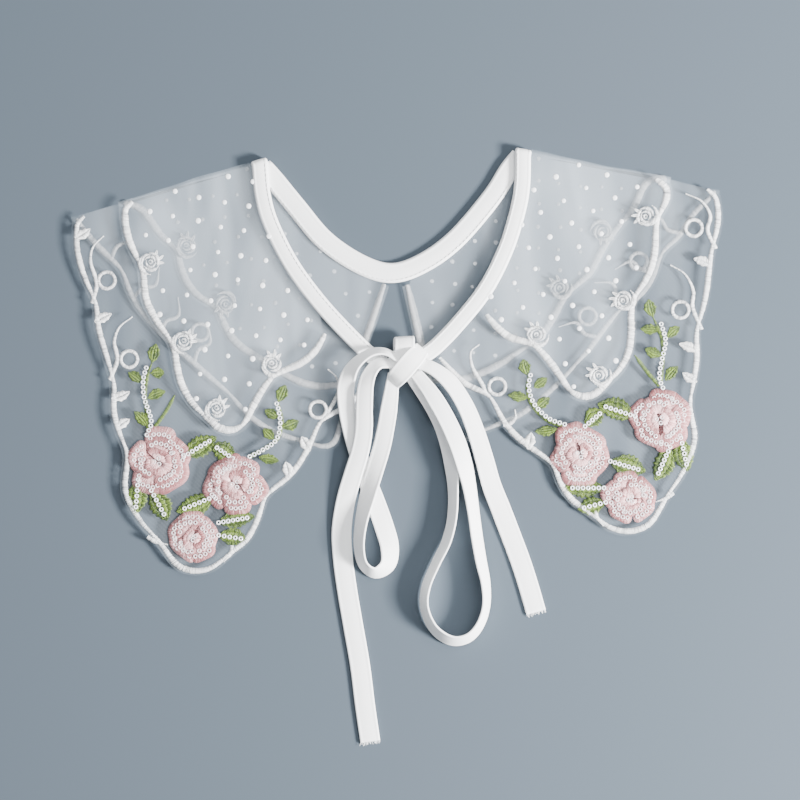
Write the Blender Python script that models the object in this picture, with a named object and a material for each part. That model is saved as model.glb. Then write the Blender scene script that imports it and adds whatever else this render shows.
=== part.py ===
"""A detachable lace collar, laid flat and tied at the front, as one Blender model.

The collar has two wings of sheer organza, each with two tiers that share one neck tape.
Every tier is one cloth wall folded at the shoulder: its front half lies on its back half,
and the upper tier wraps round the lower one. The tape runs round the neck edge and its
ends are tied in a bow. Scallops carry a raised satin border, and raised roses lie on it.

Sizes in the tables are millimetres on the surface that the collar lies on: x to the
right, y away from the hem, z up. The model itself is in metres.
"""

import math

import bmesh
import bpy
import numpy as np
from mathutils import Vector

MM = 0.001

# Stack of the cloth walls, bottom to top
WALL = 1.0
GAP = 0.3
LAYER = WALL + GAP
Z_UPPER_BACK = 0.0
Z_LOWER_BACK = LAYER
Z_LOWER_FRONT = 2 * LAYER
Z_UPPER_FRONT = 3 * LAYER
Z_FOLD = (Z_UPPER_FRONT + WALL) / 2
TOP_OF_BACK = Z_LOWER_BACK + WALL
TIER_LEVELS = {
    "upper": (Z_UPPER_FRONT, Z_UPPER_BACK),
    "lower": (Z_LOWER_FRONT, Z_LOWER_BACK),
}

# Satin border of a scalloped edge
LIP = 1.0
BORDER_WIDTH = 3.0
BORDER_RISE = 0.6
BORDER_SHOULDER = 0.8

# Columns of the walls
STEPS_PER_SCALLOP = 5
BEND_STEPS = 4
INNER_ROWS = 3
SEAM_LEAN = 0.7
NORMAL_ROUNDS = 2

# Neck tape
TAPE_WIDTH = 10.4
TAPE_THICKNESS = 1.2
GATHERED_SHARE = 0.6
GATHERED_TO = 8.0
FLAT_FROM = 26.0
FRONT_BINDING_WIDTH = 8.3
BACK_BINDING_WIDTH = 10.4
BINDING_THICKNESS = TOP_OF_BACK
BINDING_STEPS = 16
BACK_BINDING_STEPS = 20
SEAM_START = {"lower": 8.0, "upper": 43.0}
SEAM_END = 7.0

# Knot of the bow
KNOT_CENTRE = (3.6, 44.4, 6.7)
KNOT_SIZE = (17.0, 17.5, 7.6)
KNOT_TURN = math.radians(38)
KNOT_BAND_RISE = 0.5

# Raised roses
ROSE_THICKNESS = 1.4
ROSE_PETALS = 6
ROSE_SIDES = 18
WHITE_ROSE_THICKNESS = 0.9

WHITE_CLOTH = (0.86, 0.88, 0.90, 1.0)
WHITE_TAPE = (0.90, 0.90, 0.89, 1.0)
SATIN_WHITE = (0.88, 0.88, 0.87, 1.0)
PINK_SATIN = (0.86, 0.62, 0.64, 1.0)

# Fold lines at the shoulders, neck end first
FOLD = {
    "left": ((-74.6, 145.6), (-168.5, 117.5)),
    "right": ((68.9, 151.6), (167.7, 132.1)),
}
# How far along its fold line each tier reaches
FOLD_SHARE = {"upper": 0.74, "lower": 1.0}

# Centre lines of the neck tape where it is sewn on, from the knot up, and round the back
FRONT_BINDING = {
    "left": (
        (-6.2, 43.4), (-13.3, 47.3), (-26.8, 60.3), (-41.3, 76.4), (-54.9, 95.2),
        (-65.3, 116.0), (-69.5, 131.0), (-71.0, 146.7),
    ),
    "right": (
        (13.0, 46.6), (20.5, 52.0), (32.5, 64.5), (46.0, 81.6), (56.4, 101.9),
        (62.7, 121.7), (65.2, 136.0), (65.6, 152.2),
    ),
}
BACK_BINDING = (
    (-71.0, 146.7), (-63.6, 138.6), (-52.3, 124.8), (-37.2, 107.1), (-18.5, 94.6),
    (-2.1, 90.2), (14.3, 95.7), (31.2, 108.2), (49.4, 129.5), (58.4, 143.6), (65.6, 152.2),
)

# Scallops as (start, deepest point, end), from the front neck corner to the shoulder
FRONT_SCALLOPS = {
    "lower_left": (
        ((-11.6, 36.0), (-16.0, 28.0), (-24.7, 18.5)),
        ((-38.2, 12.0), (-45.5, -5.2), (-54.3, -17.7)),
        ((-66.6, -26.8), (-69.4, -37.4), (-76.2, -50.7)),
        ((-87.1, -58.8), (-99.6, -66.8), (-116.7, -62.9)),
        ((-126.1, -49.4), (-136.5, -38.0), (-144.0, -21.8)),
        ((-141.7, -3.6), (-146.9, 8.3), (-149.7, 20.3)),
        ((-148.7, 31.2), (-152.6, 45.2), (-157.3, 60.3)),
        ((-158.3, 74.4), (-164.8, 88.4), (-168.6, 103.5)),
    ),
    "upper_left": (
        ((-34.6, 57.2), (-38.4, 49.9), (-48.1, 40.6)),
        ((-62.1, 35.1), (-72.5, 21.3), (-82.4, 6.5)),
        ((-99.3, 13.0), (-110.0, 23.1), (-116.2, 37.4)),
        ((-118.3, 52.5), (-126.6, 63.2), (-133.4, 76.4)),
        ((-134.2, 92.0), (-140.4, 103.0), (-143.6, 113.9)),
    ),
    "lower_right": (
        ((20.6, 44.4), (26.4, 37.9), (35.6, 29.4)),
        ((47.3, 25.0), (53.8, 11.4), (65.8, -0.8)),
        ((79.8, -10.4), (84.0, -22.4), (91.8, -31.7)),
        ((102.7, -39.0), (116.7, -46.5), (134.4, -41.1)),
        ((143.5, -25.0), (152.6, -10.7), (157.6, 5.2)),
        ((154.2, 22.4), (156.8, 34.8), (158.3, 47.3)),
        ((157.8, 60.3), (162.0, 73.6), (164.1, 88.1)),
        ((165.9, 102.7), (168.5, 111.5), (169.7, 121.7)),
    ),
    "upper_right": (
        ((44.4, 66.6), (50.2, 59.6), (59.0, 53.0)),
        ((69.4, 51.2), (81.4, 38.2), (93.3, 23.9)),
        ((111.0, 32.2), (120.1, 41.6), (124.5, 58.2)),
        ((124.5, 75.4), (132.3, 86.1), (137.0, 101.9)),
        ((137.3, 117.0), (141.4, 124.3), (143.9, 131.6)),
    ),
}
# Scallops of the back halves, from the shoulder to the centre back
BACK_SCALLOPS = {
    "lower_left": (
        ((-164.6, 111.3), (-158.3, 104.0), (-151.6, 97.2)),
        ((-144.3, 90.5), (-140.1, 78.0), (-131.8, 65.5)),
        ((-120.4, 52.0), (-111.0, 45.2), (-100.6, 35.9)),
        ((-87.6, 25.0), (-76.7, 13.0), (-60.6, 3.6)),
        ((-43.4, -1.0), (-34.1, -2.3), (-27.8, 7.3)),
        ((-25.2, 17.2), (-17.5, 43.0), (-3.8, 83.4)),
    ),
    "upper_left": (
        ((-133.4, 121.7), (-128.7, 113.4), (-123.0, 106.1)),
        ((-116.2, 100.9), (-113.6, 88.4), (-106.3, 77.0)),
        ((-94.1, 69.4), (-89.2, 56.7), (-78.3, 46.8)),
        ((-64.7, 39.0), (-53.3, 31.7), (-38.7, 28.1)),
        ((-22.6, 30.2), (-14.5, 52.0), (-3.8, 83.4)),
    ),
    "lower_right": (
        ((164.6, 126.9), (157.8, 121.2), (149.5, 108.2)),
        ((139.1, 99.3), (135.5, 87.4), (128.2, 76.4)),
        ((117.3, 69.2), (110.5, 60.8), (103.2, 50.4)),
        ((94.4, 40.6), (81.9, 27.6), (64.2, 13.5)),
        ((43.4, 5.2), (36.1, 1.0), (28.9, -0.5)),
        ((23.7, 3.1), (14.6, 34.0), (2.9, 83.2)),
    ),
    "upper_right": (
        ((131.3, 136.2), (128.2, 127.9), (123.5, 119.1)),
        ((117.3, 112.3), (110.5, 103.0), (103.7, 88.9)),
        ((89.7, 76.7), (84.5, 66.6), (76.7, 54.6)),
        ((64.7, 46.8), (51.7, 38.5), (36.1, 32.2)),
        ((14.3, 30.7), (10.0, 53.0), (2.9, 83.2)),
    ),
}

# Strands of the bow as (x, y, height of the middle, roll in degrees about the path)
STRANDS = {
    "bow_tail_left": (
        (0.0, 42.6, 8.2, 36), (-8.5, 43.2, 8.9, 36), (-13.4, 38.6, 9.6, 28),
        (-16.0, 31.0, 10.6, 12), (-16.7, 20.0, 9.6, 8), (-16.9, 9.0, 7.6, 6),
        (-18.8, -2.1, 5.6, 4), (-22.6, -14.5, 3.8, 2), (-26.4, -28.1, 2.0, 0),
        (-28.6, -43.7, 0.9, 0), (-27.8, -59.3, 0.6, 0), (-25.7, -74.9, 0.6, 0),
        (-22.6, -93.1, 0.6, 0), (-19.0, -113.9, 0.6, 0), (-16.4, -134.7, 0.6, 0),
        (-13.7, -153.2, 0.6, 0),
    ),
    "bow_loop_left": (
        (2.0, 44.4, 9.0, 60), (-5.8, 49.2, 9.2, 60), (-14.4, 48.2, 9.4, 56),
        (-22.6, 41.2, 8.6, 40), (-26.2, 31.5, 6.8, 2), (-25.8, 21.0, 5.6, -4),
        (-23.6, 9.5, 4.2, -2), (-20.4, -2.1, 2.6, 0), (-16.2, -15.1, 0.9, 0),
        (-11.2, -28.1, 0.7, 0), (-6.6, -41.1, 1.6, -10), (-3.6, -52.0, 2.9, -24),
        (-4.6, -61.2, 4.1, -40), (-11.2, -65.4, 4.9, -56), (-17.4, -61.0, 5.2, -62),
        (-19.4, -51.0, 5.2, -60), (-18.2, -38.5, 5.0, -52), (-15.0, -25.5, 4.6, -34),
        (-11.3, -12.5, 4.2, -18), (-7.5, 0.5, 4.2, -8), (-4.9, 13.5, 4.4, -4),
        (-3.2, 25.0, 4.8, 0), (-1.4, 38.0, 5.4, 0),
    ),
    "bow_loop_right": (
        (5.6, 39.0, 5.4, 6), (12.0, 30.6, 5.0, 8), (19.0, 20.6, 4.8, 10),
        (24.6, 8.8, 4.7, 14), (28.0, -4.7, 4.6, 30), (29.3, -20.3, 5.0, 58),
        (28.9, -35.9, 5.2, 64), (25.9, -48.9, 5.2, 66), (20.2, -60.8, 5.3, 68),
        (15.4, -72.3, 5.3, 68), (14.4, -82.7, 5.3, 68), (18.0, -92.6, 5.2, 64),
        (24.1, -98.6, 5.1, 60), (30.9, -100.8, 5.1, 60), (38.1, -98.6, 5.1, 62),
        (43.5, -92.0, 5.2, 66), (46.5, -82.2, 5.3, 68), (46.2, -70.7, 5.2, 64),
        (43.8, -59.3, 5.1, 58), (41.6, -46.3, 5.0, 56), (39.8, -33.3, 5.6, 54),
        (37.6, -20.0, 6.8, 44), (34.8, -8.4, 8.6, 26), (31.0, 3.1, 9.9, 12),
        (25.2, 15.6, 10.3, 6), (18.0, 27.6, 9.8, 0), (9.6, 38.6, 8.2, -6),
    ),
    "bow_tail_right": (
        (8.6, 43.8, 8.6, -20), (18.4, 40.8, 9.4, -20), (28.0, 33.0, 9.4, -18),
        (35.8, 20.8, 8.6, -16), (41.2, 7.4, 7.4, -12), (45.4, -6.0, 5.6, -8),
        (49.2, -19.6, 3.2, -4), (54.1, -32.2, 1.4, 0), (59.5, -46.3, 0.6, 0),
        (64.7, -60.3, 0.6, 0), (69.0, -73.8, 0.6, 0), (72.5, -86.0, 0.6, 0),
    ),
}
STRAND_STEP = 5.5

# The short folded ear above the knot as (x, y, height), a flat tape turned back on itself
EAR = (
    (4.0, 47.0, 8.0), (4.2, 52.0, 8.7), (4.2, 55.6, 7.6), (3.8, 56.6, 5.6), (3.4, 54.6, 3.9),
    (3.4, 50.4, 3.5),
)
EAR_WIDTH = 10.4

# Raised roses as (name, x, y, radius)
PINK_ROSES = (
    ("pink_rose_left_1", -123.6, -6.6, 15.4),
    ("pink_rose_left_2", -85.4, -19.6, 14.2),
    ("pink_rose_left_3", -105.8, -46.6, 12.6),
    ("pink_rose_right_1", 136.4, 14.4, 15.4),
    ("pink_rose_right_2", 95.4, -4.4, 14.2),
    ("pink_rose_right_3", 120.9, -26.8, 12.6),
)
WHITE_ROSES = (
    ("white_rose_left_1", -127.6, 95.7, 5.8),
    ("white_rose_left_2", -110.4, 54.6, 5.8),
    ("white_rose_left_3", -93.0, 21.0, 5.8),
    ("white_rose_left_4", -65.6, 43.2, 5.8),
    ("white_rose_right_1", 129.2, 118.6, 5.8),
    ("white_rose_right_2", 117.0, 75.2, 5.8),
    ("white_rose_right_3", 104.2, 37.6, 5.8),
    ("white_rose_right_4", 72.5, 59.0, 5.8),
)


def point(values):
    """A table's millimetres as an array of numbers."""
    return np.array(values, dtype=float)


def smooth_curve(points, count):
    """Points evenly spaced along a Catmull-Rom curve through the given ones."""
    pts = point(points)
    ext = np.vstack([2 * pts[0] - pts[1], pts, 2 * pts[-1] - pts[-2]])
    fine = []
    for i in range(1, len(ext) - 2):
        for t in np.linspace(0, 1, 16, endpoint=False):
            a, b, c, d = ext[i - 1:i + 3]
            fine.append(0.5 * (2 * b + (c - a) * t + (2 * a - 5 * b + 4 * c - d) * t ** 2
                               + (3 * b - 3 * c + d - a) * t ** 3))
    fine = np.array(fine + [pts[-1]])
    return even(fine, count)


def even(points, count, lean=1.0):
    """The polyline read at count places, evenly, or further apart at its start if lean < 1."""
    lengths = np.linalg.norm(np.diff(points[:, :2], axis=0), axis=1)
    along = np.concatenate([[0.0], np.cumsum(lengths)])
    places = along[-1] * np.linspace(0, 1, count) ** lean
    return np.column_stack([np.interp(places, along, column) for column in points.T])


def arc(start, middle, end, steps):
    """Points on the circular arc through three points, with both ends."""
    a, b, c = point(start), point(middle), point(end)
    d = 2 * (a[0] * (b[1] - c[1]) + b[0] * (c[1] - a[1]) + c[0] * (a[1] - b[1]))
    sq = [p @ p for p in (a, b, c)]
    centre = np.array([
        (sq[0] * (b[1] - c[1]) + sq[1] * (c[1] - a[1]) + sq[2] * (a[1] - b[1])) / d,
        (sq[0] * (c[0] - b[0]) + sq[1] * (a[0] - c[0]) + sq[2] * (b[0] - a[0])) / d,
    ])
    angles = [math.atan2(*(p - centre)[::-1]) for p in (a, b, c)]
    sweep = (angles[2] - angles[0]) % math.tau
    if (angles[1] - angles[0]) % math.tau > sweep:
        sweep -= math.tau
    radius = np.linalg.norm(a - centre)
    turns = angles[0] + sweep * np.linspace(0, 1, steps + 1)
    return centre + radius * np.column_stack([np.cos(turns), np.sin(turns)])


def scalloped_edge(rows, first=None, last=None):
    """The outline made by the scallops, each an arc, with an optional corner at each end."""
    parts = [[point(first)]] if first is not None else []
    parts += [arc(*row, STEPS_PER_SCALLOP) for row in rows]
    if last is not None:
        parts.append([point(last)])
    return np.vstack(parts)


def inward_normals(edge, inside_left):
    """Unit vectors across the outline, into the cloth, at each of its points."""
    along = np.gradient(edge, axis=0)
    along /= np.linalg.norm(along, axis=1)[:, None]
    left = np.column_stack([-along[:, 1], along[:, 0]])
    for _ in range(NORMAL_ROUNDS):
        left[1:-1] = (left[:-2] + 2 * left[1:-1] + left[2:]) / 4
    left /= np.linalg.norm(left, axis=1)[:, None]
    return left if inside_left else -left


def seam_line(centre_line, offset, count, side):
    """The edge of the tape plus the seam's gap, where a wall begins."""
    line = smooth_curve(centre_line, count)
    return line + inward_normals(line, side > 0) * offset


def columns(edge, normals, seam):
    """Rows of points from the lip, over the border, to the seam, for every column."""
    reach = (0.0, LIP, LIP + BORDER_SHOULDER, LIP + BORDER_WIDTH - BORDER_SHOULDER, LIP + BORDER_WIDTH)
    rows = [edge + normals * distance for distance in reach]
    inner = rows[-1]
    for step in range(1, INNER_ROWS + 1):
        rows.append(inner + (seam - inner) * step / INNER_ROWS)
    return np.array(rows).transpose(1, 0, 2)


def relief():
    """How far each row of a front half stands proud of the plain wall."""
    return np.array([0.0, 0.0, BORDER_RISE, BORDER_RISE, 0.0] + [0.0] * INNER_ROWS)


def tier_wall(tier, side, z_front, z_back):
    """One tier of one wing: front half, shoulder bend and back half as a closed wall."""
    sign = -1 if side == "left" else 1
    front_rows = FRONT_SCALLOPS[f"{tier}_{side}"]
    back_rows = BACK_SCALLOPS[f"{tier}_{side}"]
    neck_end, tip = (point(p) for p in FOLD[side])
    fold_end = neck_end + (tip - neck_end) * FOLD_SHARE[tier]
    front_edge = scalloped_edge(front_rows, last=fold_end)
    back_edge = scalloped_edge(back_rows, first=fold_end)
    fold_in = point(FOLD[side][0]) - point(fold_end)
    fold_in /= np.linalg.norm(fold_in)
    outward = np.array([-fold_in[1], fold_in[0]]) * -sign
    if outward[1] < 0:
        outward = -outward

    front_normals = inward_normals(front_edge, sign > 0)
    front_normals[-1] = fold_in
    back_normals = inward_normals(back_edge, sign < 0)
    back_normals[0] = fold_in

    front_seam = seam_line(FRONT_BINDING[side], FRONT_BINDING_WIDTH / 2 + GAP, 60, sign * -1)
    back_line = BACK_BINDING if side == "left" else BACK_BINDING[::-1]
    back_seam = seam_line(back_line, BACK_BINDING_WIDTH / 2 + GAP, 80, sign)
    front_seam = trim(front_seam, SEAM_START[tier], 0.0)
    half = back_seam[back_seam[:, 0] * sign > 0]
    back_seam = trim(half, 0.0, SEAM_END)
    shoulder = fold_crossing(side)
    front_seam = np.vstack([front_seam[front_below(front_seam, side)], shoulder])
    back_seam = np.vstack([shoulder, back_seam[front_below(back_seam, side)]])

    front_starts = even(front_seam, len(front_edge), SEAM_LEAN)
    back_starts = even(back_seam[::-1], len(back_edge), SEAM_LEAN)[::-1]
    front = columns(front_edge, front_normals, front_starts)
    back = columns(back_edge, back_normals, back_starts)

    outer, inner = [], []
    for column in front[:-1]:
        outer.append([(x, y, z_front + WALL + r) for (x, y), r in zip(column, relief())])
        inner.append([(x, y, z_front) for x, y in column])
    inner_radius = Z_FOLD - (z_back + WALL)
    for step in range(BEND_STEPS + 1):
        turn = math.pi * (0.5 - step / BEND_STEPS)
        for store, radius in ((outer, inner_radius + WALL), (inner, inner_radius)):
            rise = radius * math.sin(turn)
            shift = outward * radius * math.cos(turn)
            store.append([(x + shift[0], y + shift[1], Z_FOLD + rise) for x, y in front[-1]])
    for column in back[1:]:
        outer.append([(x, y, z_back) for x, y in column])
        inner.append([(x, y, z_back + WALL) for x, y in column])
    return closed_wall(f"{tier}_tier_{side}", outer, inner)


def trim(line, start, end):
    """The line without its first and last stretches."""
    steps = np.linalg.norm(np.diff(line, axis=0), axis=1)
    along = np.concatenate([[0.0], np.cumsum(steps)])
    keep = (along >= start) & (along <= along[-1] - end)
    return line[keep]


def fold_crossing(side):
    """Where the walls' seam meets the shoulder fold, just outside the tape."""
    neck, tip = (point(p) for p in FOLD[side])
    away = (tip - neck) / np.linalg.norm(tip - neck)
    return neck + away * (FRONT_BINDING_WIDTH / 2 + 1.2)


def front_below(line, side):
    """Which points of a seam lie clear of the shoulder, on the hem's side of the fold."""
    neck, tip = (point(p) for p in FOLD[side])
    away = (tip - neck) / np.linalg.norm(tip - neck)
    across = np.array([-away[1], away[0]])
    if across[1] > 0:
        across = -across
    return (line - neck) @ across > 2.0


def closed_wall(name, outer, inner):
    """A closed mesh from two grids of points, joined round the rim."""
    outer, inner = np.array(outer), np.array(inner)
    n_columns, n_rows = outer.shape[:2]
    mesh = bmesh.new()
    grids = [
        [[mesh.verts.new(p * MM) for p in column] for column in grid] for grid in (outer, inner)
    ]
    top, bottom = grids
    for i in range(n_columns - 1):
        for j in range(n_rows - 1):
            mesh.faces.new((top[i][j], top[i + 1][j], top[i + 1][j + 1], top[i][j + 1]))
            mesh.faces.new((bottom[i][j], bottom[i][j + 1], bottom[i + 1][j + 1], bottom[i + 1][j]))
    for j in (0, n_rows - 1):
        for i in range(n_columns - 1):
            mesh.faces.new((top[i][j], bottom[i][j], bottom[i + 1][j], top[i + 1][j]))
    for i in (0, n_columns - 1):
        for j in range(n_rows - 1):
            mesh.faces.new((top[i][j], top[i][j + 1], bottom[i][j + 1], bottom[i][j]))
    return finish(name, mesh)


def finish(name, mesh):
    """A mesh object from the points and faces, with its faces turned outwards."""
    bmesh.ops.recalc_face_normals(mesh, faces=mesh.faces)
    data = bpy.data.meshes.new(name)
    mesh.to_mesh(data)
    mesh.free()
    item = bpy.data.objects.new(name, data)
    collar.objects.link(item)
    return item


def tape_section(width, thickness):
    """A flat tube's outline as (across, up), with rounded edges."""
    half_w, half_t = width / 2, thickness / 2
    bevel = min(half_t * 0.6, 0.6)
    return (
        (half_w, half_t - bevel), (half_w - bevel, half_t), (bevel - half_w, half_t),
        (-half_w, half_t - bevel), (-half_w, bevel - half_t), (bevel - half_w, -half_t),
        (half_w - bevel, -half_t), (half_w, bevel - half_t),
    )


def sweep(name, sections):
    """A closed tube through the sections, each a list of as many points."""
    mesh = bmesh.new()
    rings = [[mesh.verts.new(Vector(p) * MM) for p in section] for section in sections]
    sides = len(rings[0])
    for first, second in zip(rings, rings[1:]):
        for k in range(sides):
            n = (k + 1) % sides
            mesh.faces.new((first[k], first[n], second[n], second[k]))
    mesh.faces.new(rings[0][::-1])
    mesh.faces.new(rings[-1])
    return finish(name, mesh)


def placed(outline, centre, across, up):
    """The section's outline set at a place, along two directions."""
    centre, across, up = point(centre), point(across), point(up)
    return [tuple(centre + across * a + up * b) for a, b in outline]


def flat_sections(line, width, z_middle, turn_up):
    """Sections of the sewn tape along a level line."""
    outline = tape_section(width, BINDING_THICKNESS)
    normals = inward_normals(line[:, :2], True)
    out = []
    for (x, y), (nx, ny) in zip(line[:, :2], normals):
        out.append(placed(outline, (x, y, z_middle), (nx * turn_up, ny * turn_up, 0), (0, 0, turn_up)))
    return out


def fold_sections(side, sense):
    """Sections of the tape round the shoulder fold, from the front down to the back."""
    neck, tip = (point(p) for p in FOLD[side])
    away = (tip - neck) / np.linalg.norm(tip - neck)
    outward = np.array([-away[1], away[0]])
    if outward[1] < 0:
        outward = -outward
    centre = point(FRONT_BINDING[side][-1])
    outline = tape_section(FRONT_BINDING_WIDTH * 1.04, BINDING_THICKNESS)
    radius = Z_FOLD - BINDING_THICKNESS / 2
    out = []
    for step in range(BEND_STEPS + 1):
        turn = math.pi * (0.5 - step / BEND_STEPS)
        shift = outward * radius * math.cos(turn)
        place = (centre[0] + shift[0], centre[1] + shift[1], Z_FOLD + radius * math.sin(turn))
        up = (outward[0] * math.cos(turn), outward[1] * math.cos(turn), math.sin(turn))
        out.append(placed(outline, place, (away[0] * sense, away[1] * sense, 0), up))
    return out


def neck_binding():
    """The tape sewn round the neck: up one front, over the shoulder, round the back, down."""
    z_front = 2 * Z_FOLD - BINDING_THICKNESS / 2
    z_back = BINDING_THICKNESS / 2
    fronts = {
        side: smooth_curve(FRONT_BINDING[side], BINDING_STEPS)[:-1] for side in ("left", "right")
    }
    back = smooth_curve(BACK_BINDING, BACK_BINDING_STEPS)[1:-1]
    sections = flat_sections(fronts["left"], FRONT_BINDING_WIDTH, z_front, 1)
    sections += fold_sections("left", 1)
    sections += flat_sections(back, BACK_BINDING_WIDTH, z_back, -1)
    sections += fold_sections("right", 1)[::-1]
    sections += flat_sections(fronts["right"][::-1], FRONT_BINDING_WIDTH, z_front, 1)
    return sweep("neck_binding", sections)


def spread(x, y):
    """The share of its width that the tape has at a place, as the knot gathers it."""
    away = math.hypot(x - KNOT_CENTRE[0], y - KNOT_CENTRE[1])
    share = min(max((away - GATHERED_TO) / (FLAT_FROM - GATHERED_TO), 0.0), 1.0)
    return GATHERED_SHARE + (1 - GATHERED_SHARE) * share


def strand(name):
    """A loop or tail of the bow: the flat tape along its path, rolled as it lies."""
    rows = point(STRANDS[name])
    length = np.linalg.norm(np.diff(rows[:, :2], axis=0), axis=1).sum()
    path = smooth_curve(rows, int(length / STRAND_STEP) + 1)
    tangents = np.gradient(path[:, :3], axis=0)
    sections = []
    for (x, y, z, roll), tangent in zip(path, tangents):
        outline = tape_section(TAPE_WIDTH * spread(x, y), TAPE_THICKNESS)
        flat = np.array([-tangent[1], tangent[0], 0.0])
        flat /= np.linalg.norm(flat)
        up = np.cross(tangent / np.linalg.norm(tangent), flat)
        a, b = math.cos(math.radians(roll)), math.sin(math.radians(roll))
        sections.append(placed(outline, (x, y, z), flat * a + up * b, up * a - flat * b))
    return sweep(name, sections)


def bow_ear():
    """The short end of the tape that the knot turns back on itself."""
    path = smooth_curve(EAR, 14)
    outline = tape_section(EAR_WIDTH, TAPE_THICKNESS)
    tangents = np.gradient(path, axis=0)
    sections = []
    for place, tangent in zip(path, tangents):
        across = np.array([1.0, 0.06, 0.0])
        up = np.cross(tangent, across)
        sections.append(placed(outline, place, across, up / np.linalg.norm(up)))
    return sweep("bow_ear", sections)


def bow_knot():
    """The knot: a squashed round of tape with a band drawn tight across it."""
    mesh = bmesh.new()
    bmesh.ops.create_uvsphere(mesh, u_segments=24, v_segments=14, radius=0.5)
    for vert in mesh.verts:
        x, y, z = vert.co
        band = KNOT_BAND_RISE * max(0.0, 1 - (y / 0.24) ** 2) * (z > 0.1)
        level = math.copysign(abs(2 * z) ** 0.8 / 2, z)
        place = Vector((x * KNOT_SIZE[0], y * KNOT_SIZE[1] * 0.86, level * KNOT_SIZE[2] + band))
        vert.co = place * MM
    knot = finish("bow_knot", mesh)
    knot.rotation_euler = (0, 0, KNOT_TURN)
    knot.location = Vector(KNOT_CENTRE) * MM
    return knot


def knot_clearance(knot):
    """A hidden copy of the knot, a little larger, that the strands are cut back by."""
    cutter = bpy.data.objects.new("knot_clearance", knot.data.copy())
    half = Vector(KNOT_SIZE) / 2
    for vert in cutter.data.vertices:
        for axis in range(3):
            vert.co[axis] *= 1 + GAP * 1.15 / half[axis]
    cutter.rotation_euler = knot.rotation_euler
    cutter.location = knot.location
    cutter.hide_render = True
    cutter.display_type = "WIRE"
    cutters.objects.link(cutter)
    return cutter


def rose(name, x, y, radius, z, thickness, petals):
    """A raised rose: a low dome with a lobed edge and two rings of petal steps."""
    mesh = bmesh.new()
    rings = ((1.0, 0.0), (1.0, 0.45), (0.84, 0.75), (0.62, 0.66), (0.52, 1.0), (0.26, 0.9))
    verts = []
    for scale, level in rings:
        ring = []
        for k in range(ROSE_SIDES):
            turn = math.tau * k / ROSE_SIDES
            lobe = 1 - 0.09 * abs(math.sin(petals * turn / 2 + x)) ** 0.6 * scale
            reach = radius * scale * lobe
            ring.append(mesh.verts.new(Vector((
                x + reach * math.cos(turn), y + reach * math.sin(turn), z + thickness * level,
            )) * MM))
        verts.append(ring)
    for lower, upper in zip(verts, verts[1:]):
        for k in range(ROSE_SIDES):
            n = (k + 1) % ROSE_SIDES
            mesh.faces.new((lower[k], lower[n], upper[n], upper[k]))
    mesh.faces.new(verts[0][::-1])
    mesh.faces.new(verts[-1])
    return finish(name, mesh)


def material(name, colour, roughness):
    """A plain Principled finish."""
    made = bpy.data.materials.new(name)
    made.use_nodes = True
    shader = made.node_tree.nodes["Principled BSDF"]
    shader.inputs["Base Color"].default_value = colour
    shader.inputs["Roughness"].default_value = roughness
    shader.inputs["Metallic"].default_value = 0.0
    return made


def dress(item, colour, roughness):
    """Give a piece its own material and smooth shading."""
    item.data.materials.append(material(item.name, colour, roughness))
    item.data.shade_smooth()
    item.data.set_sharp_from_angle(angle=math.radians(35))


for old in list(bpy.data.objects):
    bpy.data.objects.remove(old)
collar = bpy.data.collections.new("detachable_collar")
cutters = bpy.data.collections.new("cutters")
bpy.context.scene.collection.children.link(collar)
bpy.context.scene.collection.children.link(cutters)

for side in ("left", "right"):
    for tier, (z_front, z_back) in TIER_LEVELS.items():
        dress(tier_wall(tier, side, z_front, z_back), WHITE_CLOTH, 0.7)

dress(neck_binding(), WHITE_TAPE, 0.6)
knot_body = bow_knot()
dress(knot_body, WHITE_TAPE, 0.6)
clearance = knot_clearance(knot_body)
for tape in [strand(name) for name in STRANDS] + [bow_ear()]:
    cut = tape.modifiers.new("knot", "BOOLEAN")
    cut.operation = "DIFFERENCE"
    cut.object = clearance
    dress(tape, WHITE_TAPE, 0.6)

for name, x, y, radius in PINK_ROSES:
    z = Z_LOWER_FRONT + WALL + GAP
    dress(rose(name, x, y, radius, z, ROSE_THICKNESS, ROSE_PETALS), PINK_SATIN, 0.45)
for name, x, y, radius in WHITE_ROSES:
    z = Z_UPPER_FRONT + WALL + BORDER_RISE + GAP
    dress(rose(name, x, y, radius, z, WHITE_ROSE_THICKNESS, ROSE_PETALS - 1), SATIN_WHITE, 0.4)
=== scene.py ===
"""Finishes and fine form of a detachable lace collar, laid flat and tied in a bow.

Tables give millimetres on the surface that the collar lies on: x to the right wing, y
from the hem towards the back of the neck, z up. Meshes are in metres.
"""
import logging
import math
from dataclasses import dataclass, field
from enum import Enum
from typing import Sequence

import bmesh
import bpy
import numpy as np
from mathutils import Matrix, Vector


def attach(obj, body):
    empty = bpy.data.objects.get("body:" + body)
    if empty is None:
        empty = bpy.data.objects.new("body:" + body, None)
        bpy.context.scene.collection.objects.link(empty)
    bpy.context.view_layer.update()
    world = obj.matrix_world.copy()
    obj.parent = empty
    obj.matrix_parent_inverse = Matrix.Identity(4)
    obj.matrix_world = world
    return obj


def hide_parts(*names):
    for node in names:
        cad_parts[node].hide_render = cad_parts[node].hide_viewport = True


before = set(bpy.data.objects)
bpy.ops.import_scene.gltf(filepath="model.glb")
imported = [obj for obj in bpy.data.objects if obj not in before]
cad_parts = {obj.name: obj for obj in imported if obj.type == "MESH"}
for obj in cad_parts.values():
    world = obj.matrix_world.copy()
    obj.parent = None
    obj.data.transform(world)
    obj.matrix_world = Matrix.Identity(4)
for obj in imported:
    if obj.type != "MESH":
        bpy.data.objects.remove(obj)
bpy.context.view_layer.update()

LOG = logging.getLogger("collar")
MM = 0.001
BODY = "root"

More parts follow.
